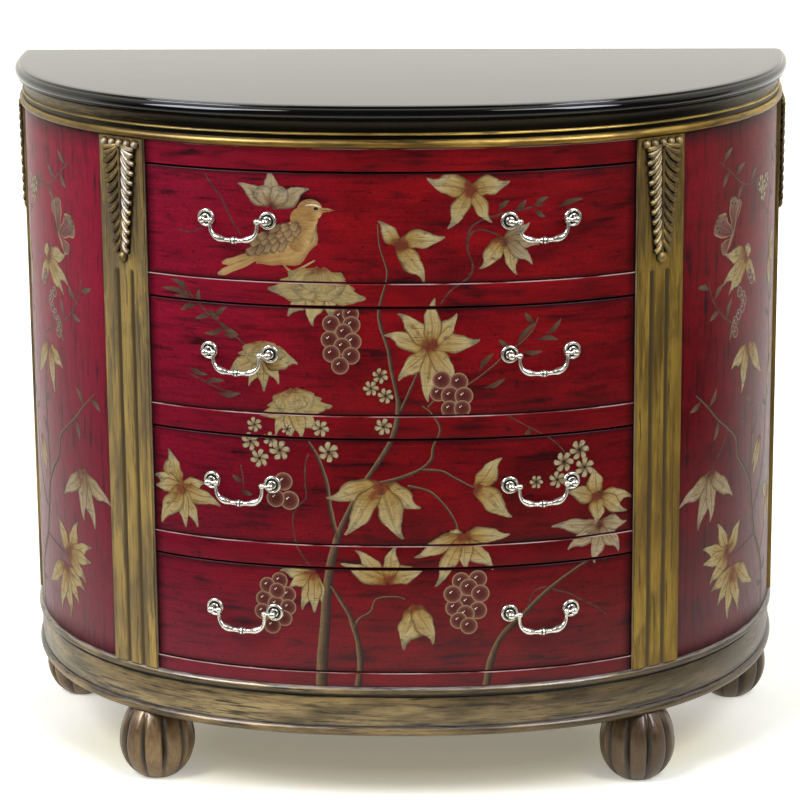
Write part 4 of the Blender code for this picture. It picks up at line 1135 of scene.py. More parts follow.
back_wood = plain_wood("stained_back_board", "#6b4e33", "#3f2b1b", (300, 300, 7), (34, 34, 3))
case_wood = plain_wood("carcase_pine", "#a9855a", "#7d5c39", (8, 300, 300), (4, 40, 40))
drawer_wood = plain_wood("drawer_side_wood", "#c3a273", "#98764b", (300, 8, 300), (36, 4, 36))
bottom_wood = plain_wood("drawer_bottom_ply", "#c7ab80", "#a4855a", (7, 260, 260), (5, 30, 5))
for title, node in frame["nodes"].items():
    if title == "back_panel":
        coat_with(back_wood, node)
    elif title.startswith(("bay_wall", "base_board", "sub_top")):
        coat_with(case_wood, node)
    elif title.endswith("_box"):
        coat_with(drawer_wood, node)
    elif title.endswith("_bottom"):
        coat_with(bottom_wood, node)
print("finishes:", len(bpy.data.materials))

# %% Lay the finishes on the pieces made above
for piece in bpy.data.objects:
    if piece.name.startswith("gold_pilaster"):
        coat_with(pilaster_gold, piece)
    elif piece.name.startswith("carved_drop"):
        coat_with(carved_gold, piece)
    elif piece.name.startswith("melon_foot"):
        coat_with(foot_bronze, piece)
    elif piece.name.startswith(("silver_post", "silver_bail")):
        coat_with(old_silver, piece)

# %% [markdown]
# ## Painted vines: the brush
# The decoration is old chinoiserie work, painted by hand over the lacquer: a vine that
# grows up across all four drawers, with pale pointed leaves, grapes, small blossoms, a
# bird and butterflies. A painter lays it in single strokes, so each stroke here is a small
# sheet of paint, drawn flat on the unrolled front in millimetres: first how far right of
# the middle, then how high above the floor. Later strokes lie a hair higher than earlier
# ones. At the end the flat painting is sawn into panels and bent on to the bow.

# %% Brush strokes
GRIDS = {}
STROKES = []
LOW_LIFT = 0.00003


def blank_sheet(cells_long, cells_wide):
    """A flat grid from -1 to 1 each way, made once for each count of cells."""
    if (cells_long, cells_wide) not in GRIDS:
        bpy.ops.object.select_all(action="DESELECT")
        bpy.ops.mesh.primitive_grid_add(
            x_subdivisions=cells_long, y_subdivisions=cells_wide, size=2)
        GRIDS[cells_long, cells_wide] = bpy.context.object
    return GRIDS[cells_long, cells_wide]


def stroke(kind, cells, shape, lift, seed, round_one=False):
    """Lay one stroke. `shape` turns (along, across) into a place in millimetres."""
    sheet = blank_sheet(*cells)
    piece = bpy.data.objects.new("stroke", sheet.data.copy())
    bpy.context.scene.collection.objects.link(piece)
    marks = piece.data.attributes.new("stroke", "FLOAT_VECTOR", "POINT")
    flat = piece.data.attributes.new("unrolled", "FLOAT_VECTOR", "POINT")
    for index, point in enumerate(piece.data.vertices):
        x, y = point.co.x, point.co.y
        if round_one:
            x, y = x * math.sqrt(1 - y * y / 2), y * math.sqrt(1 - x * x / 2)
        along = x if round_one else (x + 1) / 2
        marks.data[index].vector = (along, y, seed)
        s, z = shape(along, y)
        flat.data[index].vector = (s / 1000, 0, z / 1000)
        point.co = (s / 1000 + HALF_RUN, -(LOW_LIFT + lift / 1000), z / 1000)
    piece.data.materials.append(kind)
    STROKES.append(piece)


# %% Leaves and petals
def eased(table, place):
    """A smooth value between typed (place, value) pairs."""
    for (before, low), (after, high) in zip(table, table[1:]):
        if place <= after:
            share = (place - before) / (after - before)
            return low + (high - low) * (3 - 2 * share) * share * share
    return table[-1][1]


PETAL_SHAPE = [(0, 0.44), (0.10, 0.64), (0.30, 0.96), (0.48, 1.0), (0.64, 0.86), (0.78, 0.52),
               (0.87, 0.31), (0.93, 0.23), (0.97, 0.23), (1, 0.10)]
LEAF_SHAPE = [(0, 0.06), (0.18, 0.45), (0.45, 1.0), (0.70, 0.80), (0.90, 0.32), (1, 0.03)]


def leaf_stroke(kind, base, tip, width, bend, lift, outline=PETAL_SHAPE, cells=(16, 6),
                flick=0.0):
    """A leaf or petal, bent sideways, with its tip flicked back."""
    start, end = Vector(base), Vector(tip)
    axis = end - start
    middle = (start + end) / 2 + Vector((-axis.y, axis.x)) * bend
    seed = (0.137 * base[0] + 0.311 * tip[0] + 0.173 * tip[1]) % 1.0

    def shape(along, across):
        spot = start.lerp(middle, along).lerp(middle.lerp(end, along), along)
        way = (middle - start).lerp(end - middle, along).normalized()
        ripple = 1 + 0.10 * math.sin(13 * along + 9 * seed + (2.4 if across > 0 else 0))
        edge = width / 2 * eased(outline, along) * across * (ripple + 1.2 * bend * across)
        curl = flick * width * max(0, (along - 0.70) / 0.30) ** 2
        return spot + Vector((-way.y, way.x)) * (edge + curl)

    stroke(kind, cells, shape, lift, seed)


HUMP_SHAPE = [(0, 0.35), (0.30, 0.85), (0.60, 1.0), (0.85, 0.82), (1, 0.30)]
FAN_SHAPE = [(0, 0.16), (0.20, 0.50), (0.48, 0.92), (0.68, 1.0), (0.84, 0.84), (0.94, 0.52),
             (1, 0.12)]
DOME_SHAPE = [(0, 0.16), (0.10, 0.46), (0.28, 0.74), (0.60, 0.95), (0.85, 1.0), (1, 0.88)]
PETAL_SPREAD = 1.18   # a loaded brush spreads its stroke


def spray(kind, middle, tips):
    """Leaves from one middle, each given as (s, z, width, bend). A wide one is a hump."""
    for index, (s, z, width, bend) in enumerate(tips):
        lift = 0.06 + 0.012 * index
        if width > 0.9 * math.hypot(s - middle[0], z - middle[1]):
            leaf_stroke(kind, middle, (s, z), width, bend, lift, HUMP_SHAPE)
        else:
            leaf_stroke(kind, middle, (s, z), PETAL_SPREAD * width, bend, lift,
                        flick=math.copysign(0.30, bend) if bend else 0.0)


# %% Vines and dots
def vine(kind, points, lift):
    """A branch through (s, z, width) points, rounded with a smooth spline."""
    spans = len(points) - 1
    knots = [points[0]] + list(points) + [points[-1]]

    def shape(along, across):
        reach = min(along * spans, spans - 1e-6)
        spot, share = int(reach), reach - int(reach)
        a, b, c, d = [Vector(knot) for knot in knots[spot:spot + 4]]
        place = 0.5 * (2 * b + (c - a) * share + (2 * a - 5 * b + 4 * c - d) * share ** 2
                       + (3 * b - a - 3 * c + d) * share ** 3)
        way = 0.5 * ((c - a) + 2 * (2 * a - 5 * b + 4 * c - d) * share
                     + 3 * (3 * b - a - 3 * c + d) * share ** 2)
        side = Vector((-way.y, way.x)).normalized()
        wobble = 1 + 0.10 * math.sin(23 * along + points[0][0])
        return Vector((place.x, place.y)) + side * (place.z / 2 * across * wobble)

    stroke(kind, (8 * spans, 4), shape, lift, (0.071 * points[0][0]) % 1.0)


def dot(kind, middle, radii, lift, turn=0.0, cells=(8, 8)):
    """A round or oval touch of the brush."""
    swing = (math.cos(turn), math.sin(turn))

    def shape(x, y):
        wide, tall = x * radii[0], y * radii[1]
        return (middle[0] + wide * swing[0] - tall * swing[1],
                middle[1] + wide * swing[1] + tall * swing[0])

    stroke(kind, cells, shape, lift, (0.31 * middle[0] + 0.17 * middle[1]) % 1.0, True)


# %% [markdown]
# ## Paints for the vines
# The paints are matt and a little chalky. A leaf goes from rust at its heart through ochre
# to cream, has a fine dark vein and outline, and is rubbed through in places, as the whole
# chest is. `stroke` holds how far along and across its stroke each point lies.

# %% Mix the paints
def stroke_paint(name, rough=0.5):
    """A matt paint, with the place on the stroke and on the unrolled front."""
    finish, tree, shader = new_finish(name, Roughness=rough, IOR=1.5, Specular_IOR_Level=0.2)
    stored = add(tree, "Attribute", attribute_name="stroke").outputs["Vector"]
    on_stroke = add(tree, "SeparateXYZ", [stored]).outputs
    on_front = add(tree, "Attribute", attribute_name="unrolled").outputs["Vector"]
    return finish, tree, shader, on_stroke, on_front


def rub_down(tree, shader, colour, on_front, amount):
    """Rub thin horizontal scratches and a few charcoal patches into a paint."""
    scratch = add(tree, "TexNoise", {"Vector": add(tree, "Mapping", {
        "Vector": on_front, "Scale": (42, 1, 820)}), "Scale": 1, "Detail": 3, "Roughness": 0.6})
    rubbed = glaze(tree, colour, scratch, 0.58, 0.70, amount, "#2a0a0c")
    patch = add(tree, "TexNoise", {"Vector": add(tree, "Mapping", {
        "Vector": on_front, "Location": (5.3, 0, 2.1), "Scale": (75, 1, 130)}), "Scale": 1,
        "Detail": 3, "Roughness": 0.65})
    smoked = glaze(tree, rubbed, patch, 0.56, 0.72, 0.80 * amount, "#33281f")
    bump = add(tree, "Bump", {"Strength": 0.15, "Distance": 0.0003, "Height": scratch})
    feed(shader, Base_Color=smoked, Normal=bump)


def petal_paint(name, stops, vein, rim, amount):
    """Leaf paint: a ramp from heart to tip, with a vein, brush lines and a dark rim."""
    finish, tree, shader, on_stroke, on_front = stroke_paint(name)
    wander = add(tree, "TexNoise", {"Vector": add(tree, "Mapping", {
        "Vector": on_front, "Scale": (60, 1, 60)}), "Scale": 1, "Detail": 2})
    shift = add(tree, "MapRange", [wander, 0.3, 0.7, -0.16, 0.16])
    along = add(tree, "Math", [on_stroke["X"], shift], operation="ADD")
    tone = add(tree, "ValToRGB", [along], stops=stops)
    mix_place = add(tree, "CombineXYZ", [on_stroke["X"], on_stroke["Y"], on_stroke["Z"]])
    hair = add(tree, "TexNoise", {"Vector": add(tree, "Mapping", {
        "Vector": mix_place, "Scale": (2.2, 7, 40)}), "Scale": 1, "Detail": 3})
    lines = add(tree, "MapRange", [hair, 0.35, 0.65, 0.74, 1.10])
    haired = add(tree, "Mix", [1.0, tone, lines], **TINT)
    sway = add(tree, "Math", [shift, 0.6], operation="MULTIPLY")
    swayed = add(tree, "Math", [on_stroke["Y"], sway], operation="ADD")
    off_middle = add(tree, "Math", [swayed], operation="ABSOLUTE")
    on_vein = add(tree, "MapRange", [off_middle, 0.13, 0.05, 0.0, 0.42])
    short = add(tree, "MapRange", [on_stroke["X"], 0.85, 0.6, 0.0, 1.0])
    vein_amount = add(tree, "Math", [on_vein, short], operation="MULTIPLY")
    veined = add(tree, "Mix", [vein_amount, haired, vein], **BLEND)
    outer = add(tree, "Math", [on_stroke["Y"]], operation="ABSOLUTE")
    rimmed = glaze(tree, veined, outer, 0.74, 1.0, 0.85, rim)
    tipped = glaze(tree, rimmed, along, 0.80, 1.05, 0.65, "#4f4636")
    rub_down(tree, shader, tipped, on_front, amount)
    return finish


# %% Leaf, petal and feather paints
cream_leaf = petal_paint("cream_and_ochre_leaf_paint", [
    (0.0, "#6e2a0e"), (0.10, "#7c4418"), (0.22, "#947438"), (0.42, "#a58a54"), (0.70, "#ae9b6c"),
    (1.0, "#a0916c")], "#5e4424", "#40301c", 0.85)
bloom_leaf = petal_paint("soft_bloom_paint", [
    (0.0, "#6a2a0e"), (0.12, "#7c4a1e"), (0.30, "#94794a"), (0.55, "#a08a58"), (1.0, "#a08f64")],
    "#80683c", "#7a6540", 0.85)
faded_leaf = petal_paint("faded_mauve_leaf_paint", [
    (0.0, "#5a2414"), (0.15, "#80603f"), (0.35, "#97815e"), (0.65, "#a59271"), (1.0, "#a8957a")],
    "#4c3828", "#463628", 0.9)
blossom_cream = petal_paint("blossom_cream_paint", [
    (0.0, "#4c2c1c"), (0.25, "#8c7656"), (0.6, "#b0a27c"), (1.0, "#a89a74")],
    "#84704c", "#3a281c", 0.6)
twig_leaf = petal_paint("dark_olive_twig_paint", [
    (0.0, "#3e2018"), (0.5, "#533c29"), (1.0, "#645239")], "#42301e", "#4a1f18", 0.85)
pale_twig = petal_paint("grey_olive_twig_paint", [
    (0.0, "#4a261e"), (0.5, "#5e4735"), (1.0, "#706047")], "#4c3828", "#4a1f1a", 0.8)
feather = petal_paint("bird_feather_paint", [
    (0.0, "#5a3e28"), (0.35, "#86694a"), (0.8, "#a0845a"), (1.0, "#7e6240")],
    "#6a4e32", "#352014", 0.35)
bird_tan = petal_paint("bird_body_paint", [
    (0.0, "#9a7440"), (0.4, "#ac8850"), (1.0, "#bc9a64")], "#98783f", "#8a6434", 0.3)

# %% Bark, grape, highlight and ink paints
bark, tree, shader, on_stroke, on_front = stroke_paint("vine_bark_paint")
lit_side = add(tree, "MapRange", [on_stroke["Y"], -1.0, 1.0, 0, 1])
fibre = add(tree, "TexNoise", {"Vector": add(tree, "Mapping", {
    "Vector": on_front, "Scale": (420, 1, 60)}), "Scale": 1, "Detail": 3})
side = add(tree, "Mix", [0.35, lit_side, fibre])
tone = add(tree, "ValToRGB", [side], [(0.12, "#1f130e"), (0.36, "#382820"), (0.60, "#5c4630"),
    (0.78, "#7c6444"), (0.92, "#3a2a1e")])
rub_down(tree, shader, tone, on_front, 0.45)

dark_bark, tree, shader, _, on_front = stroke_paint("faded_twig_paint")
speckle = add(tree, "TexNoise", {"Vector": add(tree, "Mapping", {
    "Vector": on_front, "Scale": (120, 1, 120)}), "Scale": 1})
tone = add(tree, "ValToRGB", [speckle], [(0.35, "#3e201a"), (0.65, "#5a3c30")])
rub_down(tree, shader, tone, on_front, 0.7)

grape_skin, tree, shader, on_stroke, on_front = stroke_paint("grape_paint", 0.4)
squares = [add(tree, "Math", [on_stroke[axis], 2.0], operation="POWER") for axis in "XY"]
square = add(tree, "Math", squares, operation="ADD")
radius = add(tree, "Math", [square, 0.5], operation="POWER")
skin = add(tree, "ValToRGB", [radius], [(0.0, "#471614"), (0.50, "#571f1a"), (0.76, "#66382f"),
    (0.88, "#7c5a44"), (0.95, "#9c8464"), (1.0, "#5c3a2c")])
rub_down(tree, shader, skin, on_front, 0.3)


def plain_paint(name, rough, fineness, dark, light):
    """One plain tone, broken by a fine speckle."""
    finish, tree, shader, _, on_front = stroke_paint(name, rough)
    speckle = add(tree, "TexNoise", {"Vector": add(tree, "Mapping", {
        "Vector": on_front, "Scale": (fineness, 1, fineness)}), "Scale": 1})
    feed(shader, Base_Color=add(tree, "ValToRGB", [speckle], [(0.3, dark), (0.7, light)]))
    return finish


light_touch = plain_paint("white_highlight_paint", 0.4, 300, "#cbbfa6", "#e8e0cc")
ink = plain_paint("black_ink_paint", 0.45, 200, "#15100e", "#2e2420")
print("finishes so far:", len(bpy.data.materials))

# %% [markdown]
# ## Painted vines: the drawing
# The motifs are the usual ones of such painting: two trunks rise from the
# bottom rail, lean to the right and fork; large pale leaves, two to eight in a spray, grow
# from them, with grapes and blossoms between, and a bird sits in the top left. Every place
# is in millimetres on the unrolled front, so the vine can run on over the rails.

# %% Sprays of leaves on the front
FRONT_SPRAYS = [
    # top drawer
    (faded_leaf, (-137, 738), [(-172, 765, 17, 0.10), (-97, 762, 19, -0.12),
        (-135, 778, 17, 0.04)]),
    (cream_leaf, (-80, 650), [(-123, 613, 22, 0.12), (-62, 608, 22, -0.08),
        (-97, 598, 22, 0.05)]),
    (cream_leaf, (13, 693), [(-6, 722, 16, 0.12), (46, 653, 20, -0.08), (64, 694, 19, 0.14)]),
    (cream_leaf, (96, 754), [(46, 761, 23, -0.12), (140, 757, 20, 0.14), (115, 715, 15, 0.08),
        (75, 709, 17, -0.10)]),
    (faded_leaf, (137, 697), [(166, 710, 14, 0.1), (177, 689, 13, 0.0), (171, 670, 14, -0.08)]),
    (cream_leaf, (136, 697), [(144, 654, 15, 0.1), (112, 660, 18, -0.1)]),
    # second drawer
    (cream_leaf, (-150, 560), [(-195, 541, 25, 0.14), (-172, 522, 12, 0.1), (-150, 514, 14, 0.0),
        (-128, 527, 14, -0.1), (-111, 558, 25, -0.16)]),
    (cream_leaf, (49, 571), [(-2, 591, 20, 0.10), (7, 537, 20, 0.12), (38, 507, 20, 0.08),
        (80, 533, 19, -0.08), (105, 571, 20, 0.10), (83, 604, 19, 0.12), (16, 614, 19, 0.06),
        (47, 628, 18, -0.06)]),
    # third drawer
    (cream_leaf, (-114, 500), [(-140, 466, 16, 0.06), (-82, 472, 17, -0.12),
        (-122, 459, 16, 0.04), (-101, 460, 16, -0.04)]),
    (cream_leaf, (-262, 388), [(-230, 399, 16, -0.1), (-208, 375, 18, -0.10),
        (-270, 430, 22, 0.20), (-297, 402, 18, 0.1), (-298, 384, 16, 0.0), (-235, 343, 16, -0.1),
        (-256, 337, 14, 0.0), (-296, 345, 22, 0.12)]),
    (cream_leaf, (-12, 401), [(-72, 380, 22, -0.12), (29, 370, 22, 0.12), (5, 336, 26, 0.08),
        (-47, 339, 23, -0.10)]),
    (cream_leaf, (100, 398), [(125, 437, 20, -0.12), (137, 357, 22, 0.12)]),
    (cream_leaf, (252, 378), [(215, 391, 18, 0.1), (250, 413, 18, 0.08), (299, 377, 18, -0.08),
        (288, 350, 17, 0.08), (255, 344, 18, -0.05)]),
    (faded_leaf, (258, 343), [(195, 351, 16, 0.1), (212, 322, 18, 0.12), (243, 297, 18, 0.08),
        (285, 311, 18, -0.1), (290, 336, 16, 0.1)]),
    # bottom drawer
    (cream_leaf, (87, 338), [(140, 334, 17, 0.12), (68, 340, 20, 0.0), (125, 303, 19, -0.12),
        (85, 299, 16, 0.06), (32, 310, 17, -0.14), (58, 276, 17, -0.10)]),
    (cream_leaf, (-5, 285), [(-37, 326, 17, 0.08), (-56, 311, 17, 0.12), (38, 293, 21, 0.14),
        (0, 329, 17, -0.08)]),
    (cream_leaf, (-92, 292), [(-80, 260, 13, -0.08), (-132, 300, 17, 0.10), (-125, 278, 15, 0.06),
        (-112, 250, 15, 0.1), (-93, 244, 15, 0.0)]),
    (cream_leaf, (30, 255), [(31, 229, 18, 0.05), (6, 206, 28, 0.14), (55, 211, 21, -0.12)]),
]
# %% Lay the sprays and the blooms
for kind, middle, tips in FRONT_SPRAYS:
    spray(kind, middle, tips)
# four blooms are seen from the side: broad petals fall from their tops over the hanging ones
for top, start, end, shares, drop_to in (
    ((-80, 663), (-142, 639), (-27, 629), (0, 1, 0.26, 0.74, 0.50), 1.0),
    ((-114, 518), (-155, 486), (-68, 499), (0, 1, 0.28, 0.72, 0.50), 1.0),
    ((-150, 574), (-190, 545), (-112, 556), (0.26, 0.74, 0.50), 0.94),
    ((-137, 736), (-170, 764), (-103, 764), (0.26, 0.74), 0.82),
):
    paints = faded_leaf if drop_to < 0.9 else bloom_leaf
    span = end[0] - start[0]
    if paints is bloom_leaf:
        foot = Vector(top).lerp(Vector(start).lerp(Vector(end), 0.5), 0.86)
        leaf_stroke(paints, top, foot, 0.72 * span, 0.0, 0.126, DOME_SHAPE, (14, 12))
    for index, share in enumerate(shares):
        tip = Vector(top).lerp(Vector(start).lerp(Vector(end), share), drop_to)
        if share in (0, 1):
            leaf_stroke(paints, top, tip, 0.27 * span, 0.24 - 0.48 * share, 0.130)
        else:
            leaf_stroke(paints, top, tip, 0.36 * span, 0.30 * (0.5 - share),
                        0.135 + 0.008 * index, FAN_SHAPE)
print("sprays on the front:", len(FRONT_SPRAYS), "strokes:", len(STROKES))

# %% Trunks, branches and thin vines
TRUNKS = [
    [(-85, 148, 14), (-84, 185, 15), (-80, 230, 14), (-78, 262, 12), (-73, 300, 10),
        (-68, 322, 9), (-63, 340, 8), (-55, 360, 7), (-35, 400, 6), (-15, 430, 6), (0, 455, 6),
        (8, 480, 6), (10, 500, 6), (8, 515, 5), (2, 545, 5), (-2, 570, 4), (-9, 592, 4),
        (-12, 610, 3.4), (-9, 627, 3), (-4, 645, 2.6), (-2, 662, 2.4), (-10, 690, 2),
        (-12, 716, 1.6)],
    [(-42, 148, 8), (-38, 180, 8), (-40, 205, 7), (-45, 225, 6.5), (-51, 243, 5.5),
        (-62, 262, 4.5), (-72, 278, 3.5)],
    [(-97, 455, 3), (-88, 440, 4), (-80, 420, 4.4), (-75, 400, 4.6), (-72, 375, 5),
        (-68, 355, 5.6), (-63, 338, 6)],
    [(112, 148, 9), (118, 180, 8.4), (127, 205, 7.6), (140, 222, 7), (155, 235, 6),
        (175, 255, 5.4), (200, 275, 4.6), (226, 291, 3.6), (246, 301, 2.6)],
    [(-45, 225, 4), (-38, 238, 3.6), (-25, 246, 3.2), (-18, 262, 2.6), (4, 265, 2.4),
        (16, 262, 2)],
    [(-22, 404, 4.6), (8, 411, 4.4), (33, 421, 4), (48, 434, 3.8), (51, 450, 3.4), (59, 472, 2.8),
        (48, 492, 2.4), (38, 500, 2)],
    [(35, 422, 3.2), (60, 420, 3), (76, 411, 2.8), (98, 399, 2.4)],
    [(20, 402, 3.2), (46, 395, 3), (65, 376, 2.8), (77, 355, 2.6), (79, 337, 2.2)],
    [(11, 490, 3), (22, 515, 3), (33, 540, 2.8), (37, 552, 2.4)],
    [(45, 498, 2.2), (60, 512, 2), (84, 520, 1.8), (102, 531, 2.2), (122, 546, 2.2),
        (140, 562, 2.2), (156, 573, 2), (170, 588, 1.8), (176, 602, 1.6)],
]
THIN_VINES = [
    [(60, 622, 2.2), (72, 638, 2.2), (92, 652, 2.4), (98, 666, 2.4), (92, 686, 2.4),
        (94, 708, 2.4), (105, 718, 2.4), (120, 723, 2.4), (134, 727, 2.2), (152, 730, 2.2),
        (184, 736, 1.8)],
    [(90, 692, 2), (98, 706, 2), (112, 708, 1.8), (136, 698, 1.6)],
    [(-218, 769, 1.8), (-211, 758, 2), (-198, 742, 2), (-190, 725, 2), (-180, 708, 1.8),
        (-174, 699, 1.5)],
    [(-258, 702, 1.4), (-240, 699, 1.6), (-224, 706, 1.4)],
    [(-252, 641, 1.8), (-238, 622, 2), (-218, 603, 2.2), (-198, 590, 2.2), (-180, 575, 2),
        (-163, 562, 1.8)],
    [(-97, 440, 1.8), (-101, 428, 1.8), (-102, 405, 1.8), (-101, 386, 1.8), (-111, 375, 1.8),
        (-117, 363, 1.8), (-117, 345, 1.8), (-112, 325, 1.8), (-100, 306, 1.8), (-90, 294, 1.6)],
    [(-181, 422, 1.6), (-178, 402, 1.6), (-180, 384, 1.4)],
    [(138, 486, 1.6), (165, 470, 1.6), (190, 455, 1.6), (206, 440, 1.6), (216, 424, 1.4)],
    [(165, 248, 2), (170, 265, 2), (186, 271, 2), (201, 265, 2), (216, 260, 2), (232, 250, 1.8),
        (250, 240, 1.6), (266, 227, 1.4)],
    [(-245, 528, 1.4), (-224, 520, 1.6), (-202, 512, 1.6), (-180, 509, 1.4)],
]
for points in TRUNKS:
    vine(bark, points, 0.035)
for points in THIN_VINES:
    vine(dark_bark, points, 0.03)
print("vines:", len(TRUNKS) + len(THIN_VINES))

# %% Narrow twig leaves
TWIG_LEAVES = [
    ((128, 729), (141, 742)), ((148, 731), (161, 742)), ((171, 734), (188, 744)),
    ((172, 731), (184, 721)), ((200, 730), (231, 739)),
    ((-243, 628), (-267, 641)), ((-240, 624), (-263, 622)), ((-236, 620), (-281, 629)),
    ((-256, 632), (-243, 614)), ((-232, 612), (-256, 604)), ((-228, 612), (-229, 632)),
    ((-214, 600), (-236, 595)), ((-210, 598), (-194, 613)), ((-204, 592), (-182, 583)),
    ((-196, 588), (-225, 579)), ((-200, 580), (-180, 581)), ((-222, 606), (-205, 597)),
    ((-246, 537), (-221, 529)), ((-226, 518), (-199, 523)), ((-210, 508), (-179, 510)),
    ((150, 569), (174, 596)), ((184, 580), (204, 599)), ((174, 575), (201, 573)),
    ((157, 562), (181, 561)), ((105, 540), (123, 561)), ((110, 520), (136, 531)),
    ((172, 595), (160, 609)), ((140, 562), (128, 577)),
    ((-178, 402), (-192, 409)), ((-179, 392), (-167, 386)), ((165, 470), (158, 457)),
]
for index, (base, tip) in enumerate(TWIG_LEAVES):
    leaf_stroke(twig_leaf, base, tip, 6.5, 0.14 * (-1) ** index, 0.045, LEAF_SHAPE, (10, 4))

# %% Grapes and blossoms
GRAPES = [
    (-57, 607, 9), (-45, 610, 9), (-68, 598, 9.5), (-44, 597, 9.5), (-53, 588, 9.5),
    (-70, 579, 9.5), (-43, 577, 9.5), (-55, 571, 9.5), (-68, 562, 9.5), (-45, 560, 9.5),
    (-58, 548, 9.5),
    (61, 531, 10), (81, 528, 10), (57, 515, 9), (71, 512, 10), (87, 511, 10), (70, 496, 9),
    (85, 496, 9), (-128, 405, 10), (-121, 382, 10.5), (-138, 384, 10),
    (-135, 282, 9), (-150, 275, 9), (-138, 269, 9), (-125, 265, 9), (-155, 258, 9),
    (-140, 252, 9.5), (-125, 249, 9), (-157, 242, 9), (-130, 235, 9), (-145, 225, 9.5),
    (103, 286, 10), (83, 284, 10), (92, 276, 10), (73, 268, 10), (106, 268, 10), (90, 258, 10),
    (75, 251, 10), (103, 247, 10), (88, 243, 10), (80, 235, 9.5), (92, 228, 9.5),
]
BLOSSOMS = [
    (-22, 521, 9), (-11, 536, 9), (-5, 512, 9), (-8, 475, 10), (-82, 472, 10), (-168, 452, 11),
    (-143, 456, 9), (-132, 443, 12), (-157, 432, 11), (-73, 443, 12), (-162, 473, 9),
    (228, 437, 12), (208, 424, 12), (200, 403, 10), (235, 415, 12), (174, 402, 8),
    (-122, 470, 7),
]
PETALS = 6


def grape(s, z, radius, lift):
    """A shaded round with a pale rim and two touches of white."""
    dot(grape_skin, (s, z), (1.12 * radius, 1.12 * radius), lift)
    for across, up, wide in ((-0.30, 0.20, 0.10), (-0.12, 0.34, 0.07)):
        dot(light_touch, (s + across * radius, z + up * radius), (wide * radius, wide * radius),
            lift + 0.003, cells=(4, 4))


def blossom(s, z, radius):
    """Narrow curved petals set like a pinwheel over a dark round."""
    turn = 0.7 * s + 0.3 * z
    dot(twig_leaf, (s, z), (0.74 * radius, 0.74 * radius), 0.145, cells=(6, 6))
    for petal in range(PETALS):
        angle = turn + math.tau * petal / PETALS
        leaf_stroke(
            blossom_cream,
            (s + 0.14 * radius * math.cos(angle), z + 0.14 * radius * math.sin(angle)),
            (s + radius * math.cos(angle + 0.25), z + radius * math.sin(angle + 0.25)),
            0.56 * radius, 0.34, 0.15 + 0.004 * petal,
            [(0, 0.3), (0.35, 0.75), (0.65, 1.0), (0.9, 0.72), (1, 0.2)], (8, 4))
    dot(ink, (s, z), (0.17 * radius, 0.17 * radius), 0.18, cells=(4, 4))


for index, (s, z, radius) in enumerate(GRAPES):
    grape(s, z, radius, 0.15 + 0.004 * (index % 12))
for s, z, radius in BLOSSOMS:
    blossom(s, z, radius)
print("grapes:", len(GRAPES), "blossoms:", len(BLOSSOMS), "strokes:", len(STROKES))

# %% [markdown]
# ## The bird
# A small long-tailed bird faces right: an ochre body, a rounded head with a short beak, a
# folded wing of overlapping feathers and a forked tail. It is built from the same strokes,
# tail first and wing last, as a painter would.

# %% Paint the bird
BLUNT_SHAPE = [(0, 0.45), (0.5, 0.9), (0.88, 1.0), (1, 0.35)]
leaf_stroke(bird_tan, (-142, 681), (-205, 652), 9, 0.03, 0.060, BLUNT_SHAPE)
leaf_stroke(bird_tan, (-146, 684), (-199, 665), 8, 0.03, 0.064, BLUNT_SHAPE)
vine(bird_tan, [(-124, 668, 2.6), (-114, 659, 2.8), (-100, 665, 2.4), (-86, 673, 2)], 0.120)
vine(bird_tan, [(-100, 665, 2), (-94, 659, 2), (-86, 657, 1.6)], 0.122)
leaf_stroke(bird_tan, (-158, 673), (-90, 720), 46, -0.17, 0.080,
            [(0, 0.22), (0.25, 0.62), (0.55, 0.98), (0.80, 0.86), (1, 0.3)])
dot(bird_tan, (-102, 704), (16, 22), 0.088, -0.35)
dot(bird_tan, (-98, 722), (16.5, 14), 0.092)
dot(bird_tan, (-91, 732), (15, 13), 0.096)
leaf_stroke(bird_tan, (-79, 732), (-62, 732), 6.5, 0.05, 0.100, [(0, 1.0), (0.5, 0.6), (1, 0.05)],
            (8, 4))
vine(ink, [(-77, 732, 0.6), (-70, 732, 0.8), (-63, 732, 0.5)], 0.104)
vine(light_touch, [(-96, 737.5, 0.8), (-87, 738.5, 1.8), (-78, 735.5, 0.8)], 0.104)
dot(ink, (-84, 734), (2.8, 2.0), 0.108, cells=(4, 4))
for row, (count, start, end, low) in enumerate((
    (5, (-121, 700), (-155, 690), 17), (5, (-110, 709), (-150, 699), 14),
    (5, (-104, 714), (-141, 705), 12), (3, (-106, 718), (-126, 713), 9),
)):
    for index in range(count):
        share = index / (count - 1)
        root = Vector(start).lerp(Vector(end), share)
        tip = root + Vector((-9 - 5 * share, 5 * share - low))
        leaf_stroke(feather, root, tip, 11, 0.12, 0.118 + 0.003 * (index + 5 * row),
                    [(0, 0.5), (0.5, 0.95), (0.85, 0.9), (1, 0.35)], (8, 4))

# %% [markdown]
# ## The sides
# The side panels carry one arrangement, mirrored from one side to the other: a branch that
# climbs and forks, hanging flowers, a chain of small grapes, a twig and a butterfly. What
# lies near the wall is seen only from the side, and the same motifs go on there.

